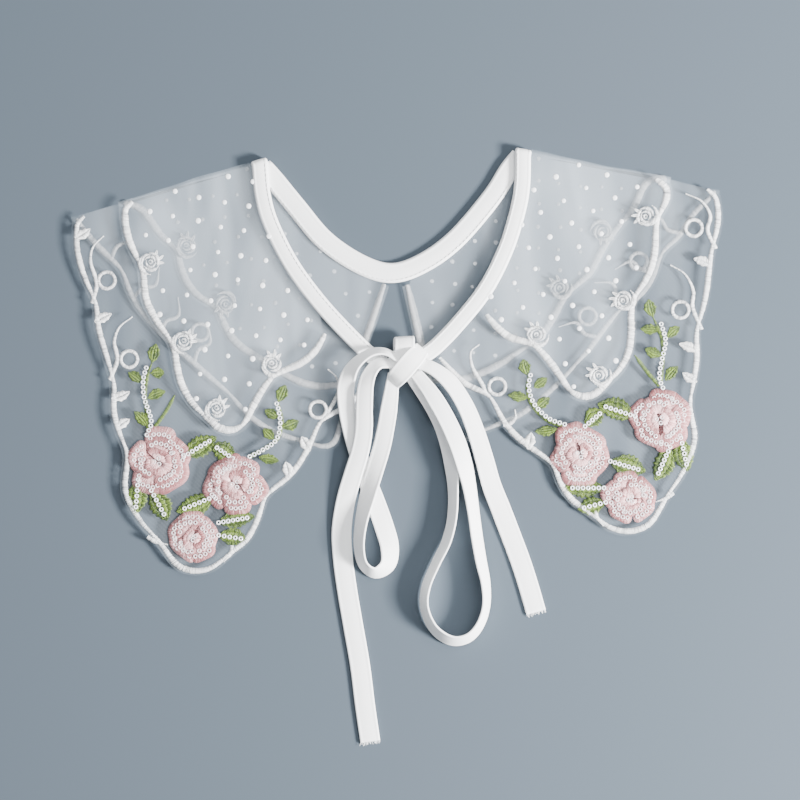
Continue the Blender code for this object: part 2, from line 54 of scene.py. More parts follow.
# Stack of the cloth in the frame, and the thickness of the cloth's shells
WALL = 1.0
GAP = 0.3
LAYER = WALL + GAP
FOLD_HEIGHT = (3 * LAYER + WALL) / 2
SHELL = 0.14

# Cloth that shows outside the border, and how far its seam lies under the tape's edge
LIP = 1.0
SEAM_TUCK = 1.0

# Columns of points across the cloth: their pitch, their lean along the seam, the rows next
# to the cut edge, the border's turn in at the fold, and how far the seam keeps off the fold
COLUMN_PITCH = 1.8
SEAM_LEAN = 0.7
BORDER_ROWS = (0.0, 1.2, 2.6, 4.0)
BORDER_TURN_IN = 1.5
SEAM_CLEAR_OF_FOLD = 2.0

# The tape as sewn
FRONT_BINDING_WIDTH = 8.3
BACK_BINDING_WIDTH = 10.4
TAPE_WIDTH = 10.4
TAPE_THICKNESS = 1.2

# Sockets of a colour Mix node, which share their names with those of its other kinds
MIX_FACTOR = 0
MIX_SHADE = 6
MIX_COLOUR = 7
MIX_RESULT = 2

# Scales of the finishes' patterns, on coordinates in metres
CLOUD_SCALE = 90.0
CLOUD_SHARE = 0.35
# Painted light and shade of soft creases: the turn and stretch of streaks in the cloth's cover
PAINTED_CREASE_LIGHT_TURN = 0.35
PAINTED_CREASE_LIGHT_SCALE = (38.0, 9.0, 1.0)
HATCH_SCALE = 260.0
WEAVE_DEPTH = 0.0001

# Small forms at unit size: a ring's wire and middle radius, and a thread's end width
RING_WIRE = 0.145
RING_RADIUS = 0.35
END_WIDTH = 0.6


class Side(Enum):
    """Which wing of the collar, by the sign of x."""

    LEFT = -1
    RIGHT = 1

    @property
    def word(self) -> str:
        """The wing's name in lower case."""
        return self.name.lower()


class Tier(Enum):
    """Which of the two tiers of a wing."""

    UPPER = "upper"
    LOWER = "lower"


class Half(Enum):
    """Which half of a folded tier."""

    FRONT = "front"
    BACK = "back"


# Height of each wall's lower face
WALL_FOOT = {
    (Tier.UPPER, Half.BACK): 0.0,
    (Tier.LOWER, Half.BACK): LAYER,
    (Tier.LOWER, Half.FRONT): 2 * LAYER,
    (Tier.UPPER, Half.FRONT): 3 * LAYER,
}

# How far the fronts' ripples rise, and how far from the fold they are at their full height
RIPPLE_RISE = {Tier.UPPER: 0.42, Tier.LOWER: 0.28}
RIPPLE_FULL_AT = 14.0

# Fold lines at the shoulders, neck end first, and how much of them each tier takes
FOLD = {
    Side.LEFT: ((-74.6, 145.6), (-168.5, 117.5)),
    Side.RIGHT: ((68.9, 151.6), (167.7, 132.1)),
}
FOLD_SHARE = {Tier.UPPER: 0.74, Tier.LOWER: 1.0}

# How far up the front from the bow each tier's seam starts, and how far from the centre
# back the seams end
SEAM_START = {Tier.LOWER: 8.0, Tier.UPPER: 43.0}
SEAM_END = 7.0

# Middle line of the tape: up each front from the bow, and round the back from left to right
FRONT_BINDING = {
    Side.LEFT: (
        (-6.2, 43.4), (-13.3, 47.3), (-26.8, 60.3), (-41.3, 76.4), (-54.9, 95.2),
        (-65.3, 116.0), (-69.5, 131.0), (-71.0, 146.7),
    ),
    Side.RIGHT: (
        (13.0, 46.6), (20.5, 52.0), (32.5, 64.5), (46.0, 81.6), (56.4, 101.9),
        (62.7, 121.7), (65.2, 136.0), (65.6, 152.2),
    ),
}
BACK_BINDING = (
    (-71.0, 146.7), (-63.6, 138.6), (-52.3, 124.8), (-37.2, 107.1), (-18.5, 94.6),
    (-2.1, 90.2), (14.3, 95.7), (31.2, 108.2), (49.4, 129.5), (58.4, 143.6), (65.6, 152.2),
)

# Scallops as (start, deepest point, end): fronts from the neck corner to the shoulder,
# backs from the shoulder to the centre back
SCALLOPS = {
    (Side.LEFT, Tier.LOWER, Half.FRONT): (
        ((-11.6, 36.0), (-16.0, 28.0), (-24.7, 18.5)),
        ((-38.2, 12.0), (-45.5, -5.2), (-54.3, -17.7)),
        ((-66.6, -26.8), (-69.4, -37.4), (-76.2, -50.7)),
        ((-87.1, -58.8), (-99.6, -66.8), (-116.7, -62.9)),
        ((-126.1, -49.4), (-136.5, -38.0), (-144.0, -21.8)),
        ((-141.7, -3.6), (-146.9, 8.3), (-149.7, 20.3)),
        ((-148.7, 31.2), (-152.6, 45.2), (-157.3, 60.3)),
        ((-158.3, 74.4), (-164.8, 88.4), (-168.6, 103.5)),
    ),
    (Side.LEFT, Tier.UPPER, Half.FRONT): (
        ((-34.6, 57.2), (-38.4, 49.9), (-48.1, 40.6)),
        ((-62.1, 35.1), (-70.4, 22.8), (-76.0, 10.6)),
        ((-77.5, 9.2), (-87.2, 5.2), (-98.0, 11.2)),
        ((-99.3, 12.4), (-110.0, 23.1), (-116.2, 37.4)),
        ((-118.3, 52.5), (-126.6, 63.2), (-133.4, 76.4)),
        ((-134.2, 92.0), (-140.4, 103.0), (-143.6, 113.9)),
    ),
    (Side.RIGHT, Tier.LOWER, Half.FRONT): (
        ((20.6, 44.4), (26.4, 37.9), (35.6, 29.4)),
        ((47.3, 25.0), (53.8, 11.4), (65.8, -0.8)),
        ((79.8, -10.4), (84.0, -22.4), (91.8, -31.7)),
        ((102.7, -39.0), (116.7, -46.5), (134.4, -41.1)),
        ((143.5, -25.0), (152.6, -10.7), (157.6, 5.2)),
        ((154.2, 22.4), (156.8, 34.8), (158.3, 47.3)),
        ((157.8, 60.3), (162.0, 73.6), (164.1, 88.1)),
        ((165.9, 102.7), (168.5, 111.5), (169.7, 121.7)),
    ),
    (Side.RIGHT, Tier.UPPER, Half.FRONT): (
        ((44.4, 66.6), (50.2, 59.6), (59.0, 53.0)),
        ((69.4, 51.2), (79.6, 39.2), (86.9, 27.6)),
        ((88.6, 26.2), (98.6, 22.8), (109.4, 29.6)),
        ((110.6, 31.2), (120.1, 41.6), (124.5, 58.2)),
        ((124.5, 75.4), (132.3, 86.1), (137.0, 101.9)),
        ((137.3, 117.0), (141.4, 124.3), (143.9, 131.6)),
    ),
    (Side.LEFT, Tier.LOWER, Half.BACK): (
        ((-164.6, 111.3), (-158.3, 104.0), (-151.6, 97.2)),
        ((-144.3, 90.5), (-140.1, 78.0), (-131.8, 65.5)),
        ((-120.4, 52.0), (-111.0, 45.2), (-100.6, 35.9)),
        ((-87.6, 25.0), (-76.7, 13.0), (-60.6, 3.6)),
        ((-43.4, -1.0), (-34.1, -2.3), (-27.8, 7.3)),
        ((-25.2, 17.2), (-17.5, 43.0), (-3.8, 83.4)),
    ),
    (Side.LEFT, Tier.UPPER, Half.BACK): (
        ((-133.4, 121.7), (-128.7, 113.4), (-123.0, 106.1)),
        ((-116.2, 100.9), (-113.6, 88.4), (-106.3, 77.0)),
        ((-94.1, 69.4), (-89.2, 56.7), (-78.3, 46.8)),
        ((-64.7, 39.0), (-53.3, 31.7), (-38.7, 28.1)),
        ((-22.6, 30.2), (-14.5, 52.0), (-3.8, 83.4)),
    ),
    (Side.RIGHT, Tier.LOWER, Half.BACK): (
        ((164.6, 126.9), (157.8, 121.2), (149.5, 108.2)),
        ((139.1, 99.3), (135.5, 87.4), (128.2, 76.4)),
        ((117.3, 69.2), (110.5, 60.8), (103.2, 50.4)),
        ((94.4, 40.6), (81.9, 27.6), (64.2, 13.5)),
        ((43.4, 5.2), (36.1, 1.0), (28.9, -0.5)),
        ((23.7, 3.1), (14.6, 34.0), (2.9, 83.2)),
    ),
    (Side.RIGHT, Tier.UPPER, Half.BACK): (
        ((131.3, 136.2), (128.2, 127.9), (123.5, 119.1)),
        ((117.3, 112.3), (110.5, 103.0), (103.7, 88.9)),
        ((89.7, 76.7), (84.5, 66.6), (76.7, 54.6)),
        ((64.7, 46.8), (51.7, 38.5), (36.1, 32.2)),
        ((14.3, 30.7), (10.0, 53.0), (2.9, 83.2)),
    ),
}


def vec(values: Sequence[float]) -> np.ndarray:
    """A table's numbers as an array."""
    return np.array(values, dtype=float)


def unit(v: np.ndarray) -> np.ndarray:
    """The vector, or each row of vectors, at length one."""
    return v / np.maximum(np.linalg.norm(v, axis=-1, keepdims=True), 1e-9)


def even(points: np.ndarray, count: int, lean: float = 1.0) -> np.ndarray:
    """Read a polyline at a number of places.

    Args:
        points: the polyline, one row a point.
        count: how many places.
        lean: 1 for even spacing, less for wider spacing at the start.

    Returns:
        The points read.
    """
    steps = np.linalg.norm(np.diff(points[:, :2], axis=0), axis=1)
    along = np.concatenate([[0.0], np.cumsum(steps)])
    places = along[-1] * np.linspace(0, 1, count) ** lean
    return np.column_stack([np.interp(places, along, column) for column in points.T])


def length_of(points: np.ndarray) -> float:
    """The polyline's length."""
    return float(np.linalg.norm(np.diff(points, axis=0), axis=1).sum())


def smooth_curve(points: Sequence[Sequence[float]], count: int) -> np.ndarray:
    """Even points along a Catmull-Rom curve.

    Args:
        points: the places that the curve goes through.
        count: how many points to return.

    Returns:
        The points along the curve.
    """
    pts = vec(points)
    ext = np.vstack([2 * pts[0] - pts[1], pts, 2 * pts[-1] - pts[-2]])
    fine = []
    for i in range(1, len(ext) - 2):
        a, b, c, d = ext[i - 1:i + 3]
        for t in np.linspace(0, 1, 16, endpoint=False):
            fine.append(0.5 * (2 * b + (c - a) * t + (2 * a - 5 * b + 4 * c - d) * t ** 2
                               + (3 * b - 3 * c + d - a) * t ** 3))
    return even(np.array(fine + [pts[-1]]), count)


def arc(start: Sequence[float], middle: Sequence[float], end: Sequence[float],
        steps: int) -> np.ndarray:
    """Points on the circular arc through three points.

    Args:
        start: where the arc begins.
        middle: a point on the arc.
        end: where the arc ends.
        steps: how many equal steps the arc is cut into.

    Returns:
        steps + 1 points.
    """
    a, b, c = vec(start), vec(middle), vec(end)
    d = 2 * (a[0] * (b[1] - c[1]) + b[0] * (c[1] - a[1]) + c[0] * (a[1] - b[1]))
    sq = [p @ p for p in (a, b, c)]
    centre = np.array([
        (sq[0] * (b[1] - c[1]) + sq[1] * (c[1] - a[1]) + sq[2] * (a[1] - b[1])) / d,
        (sq[0] * (c[0] - b[0]) + sq[1] * (a[0] - c[0]) + sq[2] * (b[0] - a[0])) / d,
    ])
    angles = [math.atan2(*(p - centre)[::-1]) for p in (a, b, c)]
    sweep = (angles[2] - angles[0]) % math.tau
    if (angles[1] - angles[0]) % math.tau > sweep:
        sweep -= math.tau
    turns = angles[0] + sweep * np.linspace(0, 1, steps + 1)
    return centre + np.linalg.norm(a - centre) * np.column_stack([np.cos(turns), np.sin(turns)])


def normals_across(line: np.ndarray, to_left: bool, rounds: int = 2) -> np.ndarray:
    """Unit vectors square to a flat line.

    Args:
        line: the line's points.
        to_left: whether they point to the left of the line's run.
        rounds: how many times neighbouring vectors are blended.

    Returns:
        One vector for each point.
    """
    along = unit(np.gradient(line[:, :2], axis=0))
    left = np.column_stack([-along[:, 1], along[:, 0]])
    for _ in range(rounds):
        left[1:-1] = (left[:-2] + 2 * left[1:-1] + left[2:]) / 4
    left = unit(left)
    return left if to_left else -left


def fold_frame(side: Side) -> tuple[np.ndarray, np.ndarray, np.ndarray]:
    """The shoulder fold of a wing.

    Args:
        side: the wing.

    Returns:
        Its neck end, the unit vector along it away from the neck, and the unit vector
        square to it, away from the cloth.
    """
    neck, tip = (vec(p) for p in FOLD[side])
    away = unit(tip - neck)
    outward = np.array([-away[1], away[0]])
    return neck, away, outward if outward[1] > 0 else -outward


def cloth_height(side: Side, tier: Tier, half: Half, xy: np.ndarray) -> np.ndarray:
    """How high the middle of a cloth layer lies.

    Args:
        side: the wing.
        tier: the tier.
        half: the front or the back half.
        xy: places, one row each.

    Returns:
        Heights in millimetres.
    """
    xy = np.atleast_2d(xy)
    neck, away, outward = fold_frame(side)
    inside = np.maximum(-(xy - neck) @ outward, 0.0)
    along = (xy - neck) @ away
    base = WALL_FOOT[(tier, half)] + WALL / 2
    if half is Half.BACK:
        return np.full(len(xy), base)
    ripple = np.sin(along * 0.23 + inside * 0.05 + side.value) * np.sin(inside * 0.042 + 0.4)
    ripple += 0.6 * np.sin(along * 0.11 - inside * 0.13 + 1.3 * side.value)
    return base + RIPPLE_RISE[tier] * ripple * np.clip(inside / RIPPLE_FULL_AT, 0, 1)


@dataclass
class Wing:
    """The outline and the sewing lines of one tier of one wing."""

    side: Side
    tier: Tier
    steps: int = 12
    blends: int = 14
    rounding: int = 5
    border_rounding: int = 24

    def edge(self, half: Half) -> np.ndarray:
        """The cut edge of a half, to or from the shoulder fold.

        Args:
            half: the front or the back half.

        Returns:
            Its points, a column's pitch apart.
        """
        rows = SCALLOPS[(self.side, self.tier, half)]
        parts = [arc(*row, self.steps) for row in rows]
        parts = parts + [[self.fold_end()]] if half is Half.FRONT else [[self.fold_end()]] + parts
        line = np.vstack(parts)
        line = even(line, int(length_of(line) / COLUMN_PITCH))
        for _ in range(self.rounding):
            line[1:-1] = (line[:-2] + 2 * line[1:-1] + line[2:]) / 4
        return line

    def joints(self, half: Half) -> np.ndarray:
        """How far along the cut edge each scallop starts.

        Args:
            half: the front or the back half.

        Returns:
            Shares of the edge's length, with 0 and 1 at its ends.
        """
        line = self.edge(half)
        along = np.concatenate([[0.0], np.cumsum(np.linalg.norm(np.diff(line, axis=0), axis=1))])
        rows = SCALLOPS[(self.side, self.tier, half)][1:]
        found = [along[np.linalg.norm(line - vec(row[0]), axis=1).argmin()] for row in rows]
        return np.array([0.0, *found, along[-1]]) / along[-1]

    def fold_end(self) -> np.ndarray:
        """Where the tier's edge crosses the shoulder fold."""
        neck, tip = (vec(p) for p in FOLD[self.side])
        return neck + (tip - neck) * FOLD_SHARE[self.tier]

    def normals(self, half: Half) -> np.ndarray:
        """Unit vectors from the cut edge into the cloth.

        Args:
            half: the front or the back half.

        Returns:
            One vector for each point.
        """
        rightward = self.side is Side.RIGHT
        to_left = rightward if half is Half.FRONT else not rightward
        lines = normals_across(self.edge(half), to_left, self.blends)
        lines[-1 if half is Half.FRONT else 0] = -fold_frame(self.side)[1]
        return lines

    def seam(self, half: Half) -> np.ndarray:
        """Where the cloth goes under the tape.

        Args:
            half: the front or the back half.

        Returns:
            The seam's points, in the order of the cut edge.
        """
        neck, away, outward = fold_frame(self.side)
        front = half is Half.FRONT
        source = FRONT_BINDING[self.side] if front else BACK_BINDING
        if not front and self.side is Side.RIGHT:
            source = source[::-1]
        width = FRONT_BINDING_WIDTH if front else BACK_BINDING_WIDTH
        line = smooth_curve(source, 120)
        left = (self.side is Side.LEFT) == front
        line = line + normals_across(line, left) * (width / 2 - SEAM_TUCK)
        if not front:
            line = line[line[:, 0] * self.side.value > 0]
        along = np.concatenate([[0.0], np.cumsum(np.linalg.norm(np.diff(line, axis=0), axis=1))])
        start, end = (SEAM_START[self.tier], 0.0) if front else (0.0, SEAM_END)
        line = line[(along >= start) & (along <= along[-1] - end)]
        line = line[-(line - neck) @ outward > SEAM_CLEAR_OF_FOLD]
        corner = [neck + away * SEAM_TUCK / 2]
        return np.vstack([line, corner]) if front else np.vstack([corner, line])

    def columns(self, half: Half, rows: int) -> np.ndarray:
        """The half as columns of points from the cut edge to the seam.

        Args:
            half: the front or the back half.
            rows: how many steps lie between the border and the seam.

        Returns:
            An array of columns, rows and coordinates.
        """
        edge, normals, seam = self.edge(half), self.normals(half), self.seam(half)
        if half is Half.FRONT:
            starts = even(seam, len(edge), SEAM_LEAN)
        else:
            starts = even(seam[::-1], len(edge), SEAM_LEAN)[::-1]
        outer = [edge + normals * d for d in BORDER_ROWS]
        inner = [outer[-1] + (starts - outer[-1]) * (k + 1) / rows for k in range(rows)]
        return np.array(outer + inner).transpose(1, 0, 2)

    def border_line(self, half: Half, inset: float, pitch: float) -> tuple[np.ndarray, np.ndarray]:
        """A line inside the cut edge and the vectors across it.

        Args:
            half: the front or the back half.
            inset: its distance from the cut edge.
            pitch: the distance between its points.

        Returns:
            The points, and the unit vectors across the line.
        """
        line = self.edge(half) + self.normals(half) * inset
        away = fold_frame(self.side)[1]
        if half is Half.FRONT:
            line = np.vstack([line[:-1], line[-1] - away * (BORDER_TURN_IN + inset)])
        line = even(line, int(length_of(line) / pitch))
        for _ in range(self.border_rounding):
            line[1:-1] = (line[:-2] + 2 * line[1:-1] + line[2:]) / 4
        return line, normals_across(line, True, 4)


def grid_mesh(name: str, grid: np.ndarray, closed: bool = False) -> bpy.types.Object:
    """A mesh object through a grid of points.

    Args:
        name: the object's name.
        grid: rows of points in millimetres.
        closed: whether the last row joins the first, and the ends are capped.

    Returns:
        The new object.
    """
    mesh = bmesh.new()
    rings = [[mesh.verts.new(Vector(p) * MM) for p in row] for row in grid]
    count = len(rings[0])
    for first, second in zip(rings, rings[1:]):
        for k in range(count if closed else count - 1):
            n = (k + 1) % count
            mesh.faces.new((first[k], first[n], second[n], second[k]))
    if closed:
        mesh.faces.new(rings[0][::-1])
        mesh.faces.new(rings[-1])
    bmesh.ops.recalc_face_normals(mesh, faces=mesh.faces)
    return linked(name, mesh)


def linked(name: str, mesh: bmesh.types.BMesh) -> bpy.types.Object:
    """An object in the scene from mesh data that is then freed.

    Args:
        name: the object's name.
        mesh: its mesh data.

    Returns:
        The new object.
    """
    data = bpy.data.meshes.new(name)
    mesh.to_mesh(data)
    mesh.free()
    data.shade_smooth()
    item = bpy.data.objects.new(name, data)
    bpy.context.scene.collection.objects.link(item)
    return item


def plain_mesh(item: bpy.types.Object) -> None:
    """Turn an object's modifiers into its mesh and remove them.

    Args:
        item: the object.
    """
    depsgraph = bpy.context.evaluated_depsgraph_get()
    made = bpy.data.meshes.new_from_object(item.evaluated_get(depsgraph))
    item.modifiers.clear()
    item.data = made


class NodeSheet:
    """A small helper that adds and links nodes in one tree."""

    def __init__(self, tree: bpy.types.NodeTree) -> None:
        """Keep the tree."""
        self.tree = tree

    def add(self, kind: str, settings: dict | None = None, **values: object) -> bpy.types.Node:
        """Add a node.

        Args:
            kind: the node's type.
            settings: properties of the node.
            values: input names, with _ for a space, and a value or an output to link.

        Returns:
            The node.
        """
        node = self.tree.nodes.new(kind)
        for key, value in (settings or {}).items():
            setattr(node, key, value)
        for key, value in values.items():
            self.put(node, key.replace("_", " "), value)
        return node

    def maths(self, operation: str, *values: object, clamp: bool = False) -> bpy.types.NodeSocket:
        """Add a maths node and give its result.

        Args:
            operation: what it does.
            values: its inputs in order, each a number or an output to link.
            clamp: whether the result is kept between 0 and 1.

        Returns:
            The result's socket.
        """
        node = self.add("ShaderNodeMath", {"operation": operation, "use_clamp": clamp})
        for index, value in enumerate(values):
            self.put(node, index, value)
        return node.outputs[0]

    def put(self, node: bpy.types.Node, name: str | int, value: object) -> None:
        """Set or link one input of a node.

        Args:
            node: the node.
            name: the input's name or number.
            value: a value, or an output to link.
        """
        socket = node.inputs[name]
        if isinstance(value, bpy.types.NodeSocket):
            self.tree.links.new(value, socket)
        else:
            socket.default_value = value


@dataclass(frozen=True)
class Finish:
    """A cloth or thread finish with its colours, gloss and fine relief."""

    name: str
    slot: str
    colour: tuple[float, float, float]
    shade: tuple[float, float, float]
    roughness: float = 0.6
    sheen: float = 0.0
    alpha: float = 1.0
    grain: float = 1500.0
    relief: float = 0.2
    coat: float = 0.0
    tone_name: str = ""
    # How far the cover changes, with painted crease light and shade and with the weave
    mottle: float = 0.0

    def material(self) -> bpy.types.Material:
        """The finish as a node material, made once.

        Returns:
            The material.
        """
        known = bpy.data.materials.get(f"dressed_{self.name}")
        if known:
            return known
        made = bpy.data.materials.new(f"dressed_{self.name}")
        made.use_nodes = True
        sheet = NodeSheet(made.node_tree)
        shader = made.node_tree.nodes["Principled BSDF"]
        place = sheet.add("ShaderNodeTexCoord").outputs["Object"]
        cloud = sheet.add("ShaderNodeTexNoise", Vector=place, Scale=CLOUD_SCALE, Detail=3.0)
        mix = sheet.add("ShaderNodeMix", {"data_type": "RGBA"})
        sheet.put(mix, MIX_SHADE, (*self.shade, 1.0))
        sheet.put(mix, MIX_COLOUR, (*self.colour, 1.0))
        sheet.put(mix, MIX_FACTOR, self.tone(sheet, cloud.outputs["Fac"]))
        sheet.put(shader, "Base Color", mix.outputs[MIX_RESULT])
        shader.inputs["Roughness"].default_value = self.roughness
        shader.inputs["Sheen Weight"].default_value = self.sheen
        shader.inputs["Coat Weight"].default_value = self.coat
        shader.inputs["Alpha"].default_value = self.alpha
        if self.mottle > 0:
            self.cover(sheet, shader, place)
        self.weave(sheet, shader, place)
        return made

    def cover(self, sheet: NodeSheet, shader: bpy.types.Node, place: bpy.types.NodeSocket) -> None:
        """Let the cloth's cover change in soft streaks, painted light and shade of creases, and with
        its slanted weave.

        Args:
            sheet: the material's nodes.
            shader: its surface shader.
            place: the Object coordinates.
        """
        # Streaks of denser and thinner cover, painted light and shade of creases
        turned = sheet.add("ShaderNodeMapping", Vector=place, Rotation=(0.0, 0.0, PAINTED_CREASE_LIGHT_TURN),
                           Scale=PAINTED_CREASE_LIGHT_SCALE)
        crease = sheet.add("ShaderNodeTexNoise", Vector=turned.outputs["Vector"], Scale=1.0,
                           Detail=2.0, Distortion=0.6)
        settings = {"wave_type": "BANDS", "bands_direction": "DIAGONAL"}
        hatch = sheet.add("ShaderNodeTexWave", settings, Vector=place, Scale=HATCH_SCALE,
                          Distortion=0.8, Detail=1.0)
        curve = sheet.add("ShaderNodeMapRange", {"clamp": True}, Value=crease.outputs["Fac"])
        ends = (0.3, 0.7, 1 - self.mottle, 1 + self.mottle)
        for name, value in zip(("From Min", "From Max", "To Min", "To Max"), ends):
            sheet.put(curve, name, value)
        fine = sheet.maths("MULTIPLY_ADD", hatch.outputs["Fac"], 0.5 * self.mottle, 1.0)
        both = sheet.maths("MULTIPLY", curve.outputs["Result"], fine)
        sheet.put(shader, "Alpha", sheet.maths("MULTIPLY", both, self.alpha, clamp=True))

    def tone(self, sheet: NodeSheet, cloud: bpy.types.NodeSocket) -> bpy.types.NodeSocket:
        """The mix between shade and colour, by a named attribute or by a soft cloud.

        Args:
            sheet: the material's nodes.
            cloud: the soft cloud's output.

        Returns:
            The output that drives the mix.
        """
        if not self.tone_name:
            return cloud
        own = sheet.add("ShaderNodeAttribute", {"attribute_name": self.tone_name})
        return sheet.maths("MULTIPLY_ADD", cloud, CLOUD_SHARE, own.outputs["Fac"],
                           clamp=True)

    def weave(self, sheet: NodeSheet, shader: bpy.types.Node, place: bpy.types.NodeSocket) -> None:
        """Add the crossing threads of the cloth as a bump.

        Args:
            sheet: the material's nodes.
            shader: its surface shader.
            place: the Object coordinates.
        """
        waves = []
        for direction in ("X", "Y"):
            settings = {"wave_type": "BANDS", "bands_direction": direction}
            wave = sheet.add("ShaderNodeTexWave", settings, Vector=place, Scale=self.grain,
                             Distortion=1.2, Detail=1.0)
            waves.append(wave.outputs["Fac"])
        bump = sheet.add("ShaderNodeBump", Strength=self.relief, Distance=WEAVE_DEPTH,
                         Height=sheet.maths("MULTIPLY", *waves))
        sheet.put(shader, "Normal", bump.outputs["Normal"])


# Finishes as (name, slot, colour, shade), then what differs from the usual finish
DOTTED = Finish("dotted_organza", "dotted_organza", (0.73, 0.82, 0.90), (0.67, 0.76, 0.85),
                roughness=0.55, alpha=0.040, grain=900.0, relief=0.15, mottle=0.55)
PLAIN = Finish("plain_organza", "plain_organza", (0.73, 0.82, 0.90), (0.67, 0.76, 0.85),
               roughness=0.5, alpha=0.026, grain=900.0, relief=0.15, mottle=0.6)
TAPE = Finish("white_tape", "white_tape", (0.95, 0.95, 0.945), (0.91, 0.915, 0.92),
              roughness=0.75, sheen=0.15, grain=700.0, relief=0.35)
WHITE_THREAD = Finish("white_thread", "white_thread", (0.93, 0.93, 0.925), (0.30, 0.31, 0.33),
                      roughness=0.38, sheen=0.2, grain=1200.0, tone_name="tone")
# White thread greyed as painted shade of the cloth over it, and partly see-through
SHADED_UNDER_THREAD = Finish("under_thread", "white_thread", (0.60, 0.61, 0.62), (0.40, 0.41, 0.43),
                      roughness=0.5, sheen=0.1, alpha=0.55, grain=1200.0, tone_name="tone")
PINK_THREAD = Finish("pink_thread", "pink_thread", (0.80, 0.50, 0.50), (0.27, 0.065, 0.07),
                     roughness=0.38, sheen=0.2, grain=1200.0, tone_name="tone")
GREEN_THREAD = Finish("green_thread", "green_thread", (0.155, 0.235, 0.026), (0.012, 0.032, 0.002),
                      roughness=0.4, sheen=0.1, grain=1200.0, tone_name="tone")
DOT_THREAD = Finish("woven_dot", "dotted_organza", (0.93, 0.94, 0.95), (0.88, 0.89, 0.91),
                    roughness=0.6, sheen=0.2, grain=1200.0)
# White dots greyed as painted shade of the cloth over them, and partly see-through
SHADED_UNDER_DOT = Finish("under_dot", "dotted_organza", (0.55, 0.57, 0.59), (0.48, 0.50, 0.52),
                   roughness=0.6, sheen=0.1, alpha=0.35, grain=1200.0)
ROSE_SEQUIN = Finish("rose_sequin", "sequin_film", (0.93, 0.88, 0.89), (0.80, 0.70, 0.72),
                     roughness=0.15, alpha=0.72, grain=300.0, relief=0.05, coat=0.5)
SEQUIN = Finish("sequin_film", "sequin_film", (0.93, 0.94, 0.95), (0.84, 0.87, 0.90),
                roughness=0.12, grain=300.0, relief=0.05, coat=0.6)


@dataclass
class Guides:
    """Places for repeated small things, each with its run, its lift, its size and its tone."""

    points: list[Sequence[float]] = field(default_factory=list)
    runs: list[Sequence[float]] = field(default_factory=list)
    lifts: list[Sequence[float]] = field(default_factory=list)
    sizes: list[Sequence[float]] = field(default_factory=list)
    tones: list[float] = field(default_factory=list)

    def add(self, point: Sequence[float], run: Sequence[float], size: Sequence[float],
            tone: float = 0.6, lift: Sequence[float] = (0, 0, 1)) -> None:
        """Add one place.

        Args:
            point: the middle of the small thing.
            run: the direction of its length.
            size: its length, width and height.
            tone: 0 for the finish's shade to 1 for its colour.
            lift: its upward direction.
        """
        self.points.append(point)
        self.runs.append(run)
        self.lifts.append(lift)
        self.sizes.append(size)
        self.tones.append(tone)

    def extend(self, other: "Guides") -> None:
        """Take in another list of places."""
        for name in ("points", "runs", "lifts", "sizes", "tones"):
            getattr(self, name).extend(getattr(other, name))

    def carrier(self, name: str) -> bpy.types.Object:
        """The places as loose points that carry named attributes.

        Args:
            name: the object's name.

        Returns:
            The new object.
        """
        data = bpy.data.meshes.new(name)
        data.from_pydata([tuple(vec(p) * MM) for p in self.points], [], [])
        for key, rows, scale in (("run", self.runs, 1.0), ("lift", self.lifts, 1.0),
                                 ("size", self.sizes, MM)):
            layer = data.attributes.new(key, "FLOAT_VECTOR", "POINT")
            layer.data.foreach_set("vector", (vec(rows) * scale).ravel())
        tone = data.attributes.new("tone", "FLOAT", "POINT")
        tone.data.foreach_set("value", vec(self.tones))
        item = bpy.data.objects.new(name, data)
        bpy.context.scene.collection.objects.link(item)
        return item


class Form(Enum):
    """The small thing that a scatter repeats."""

    STITCH = "stitch"
    RING = "ring"
    DOT = "dot"


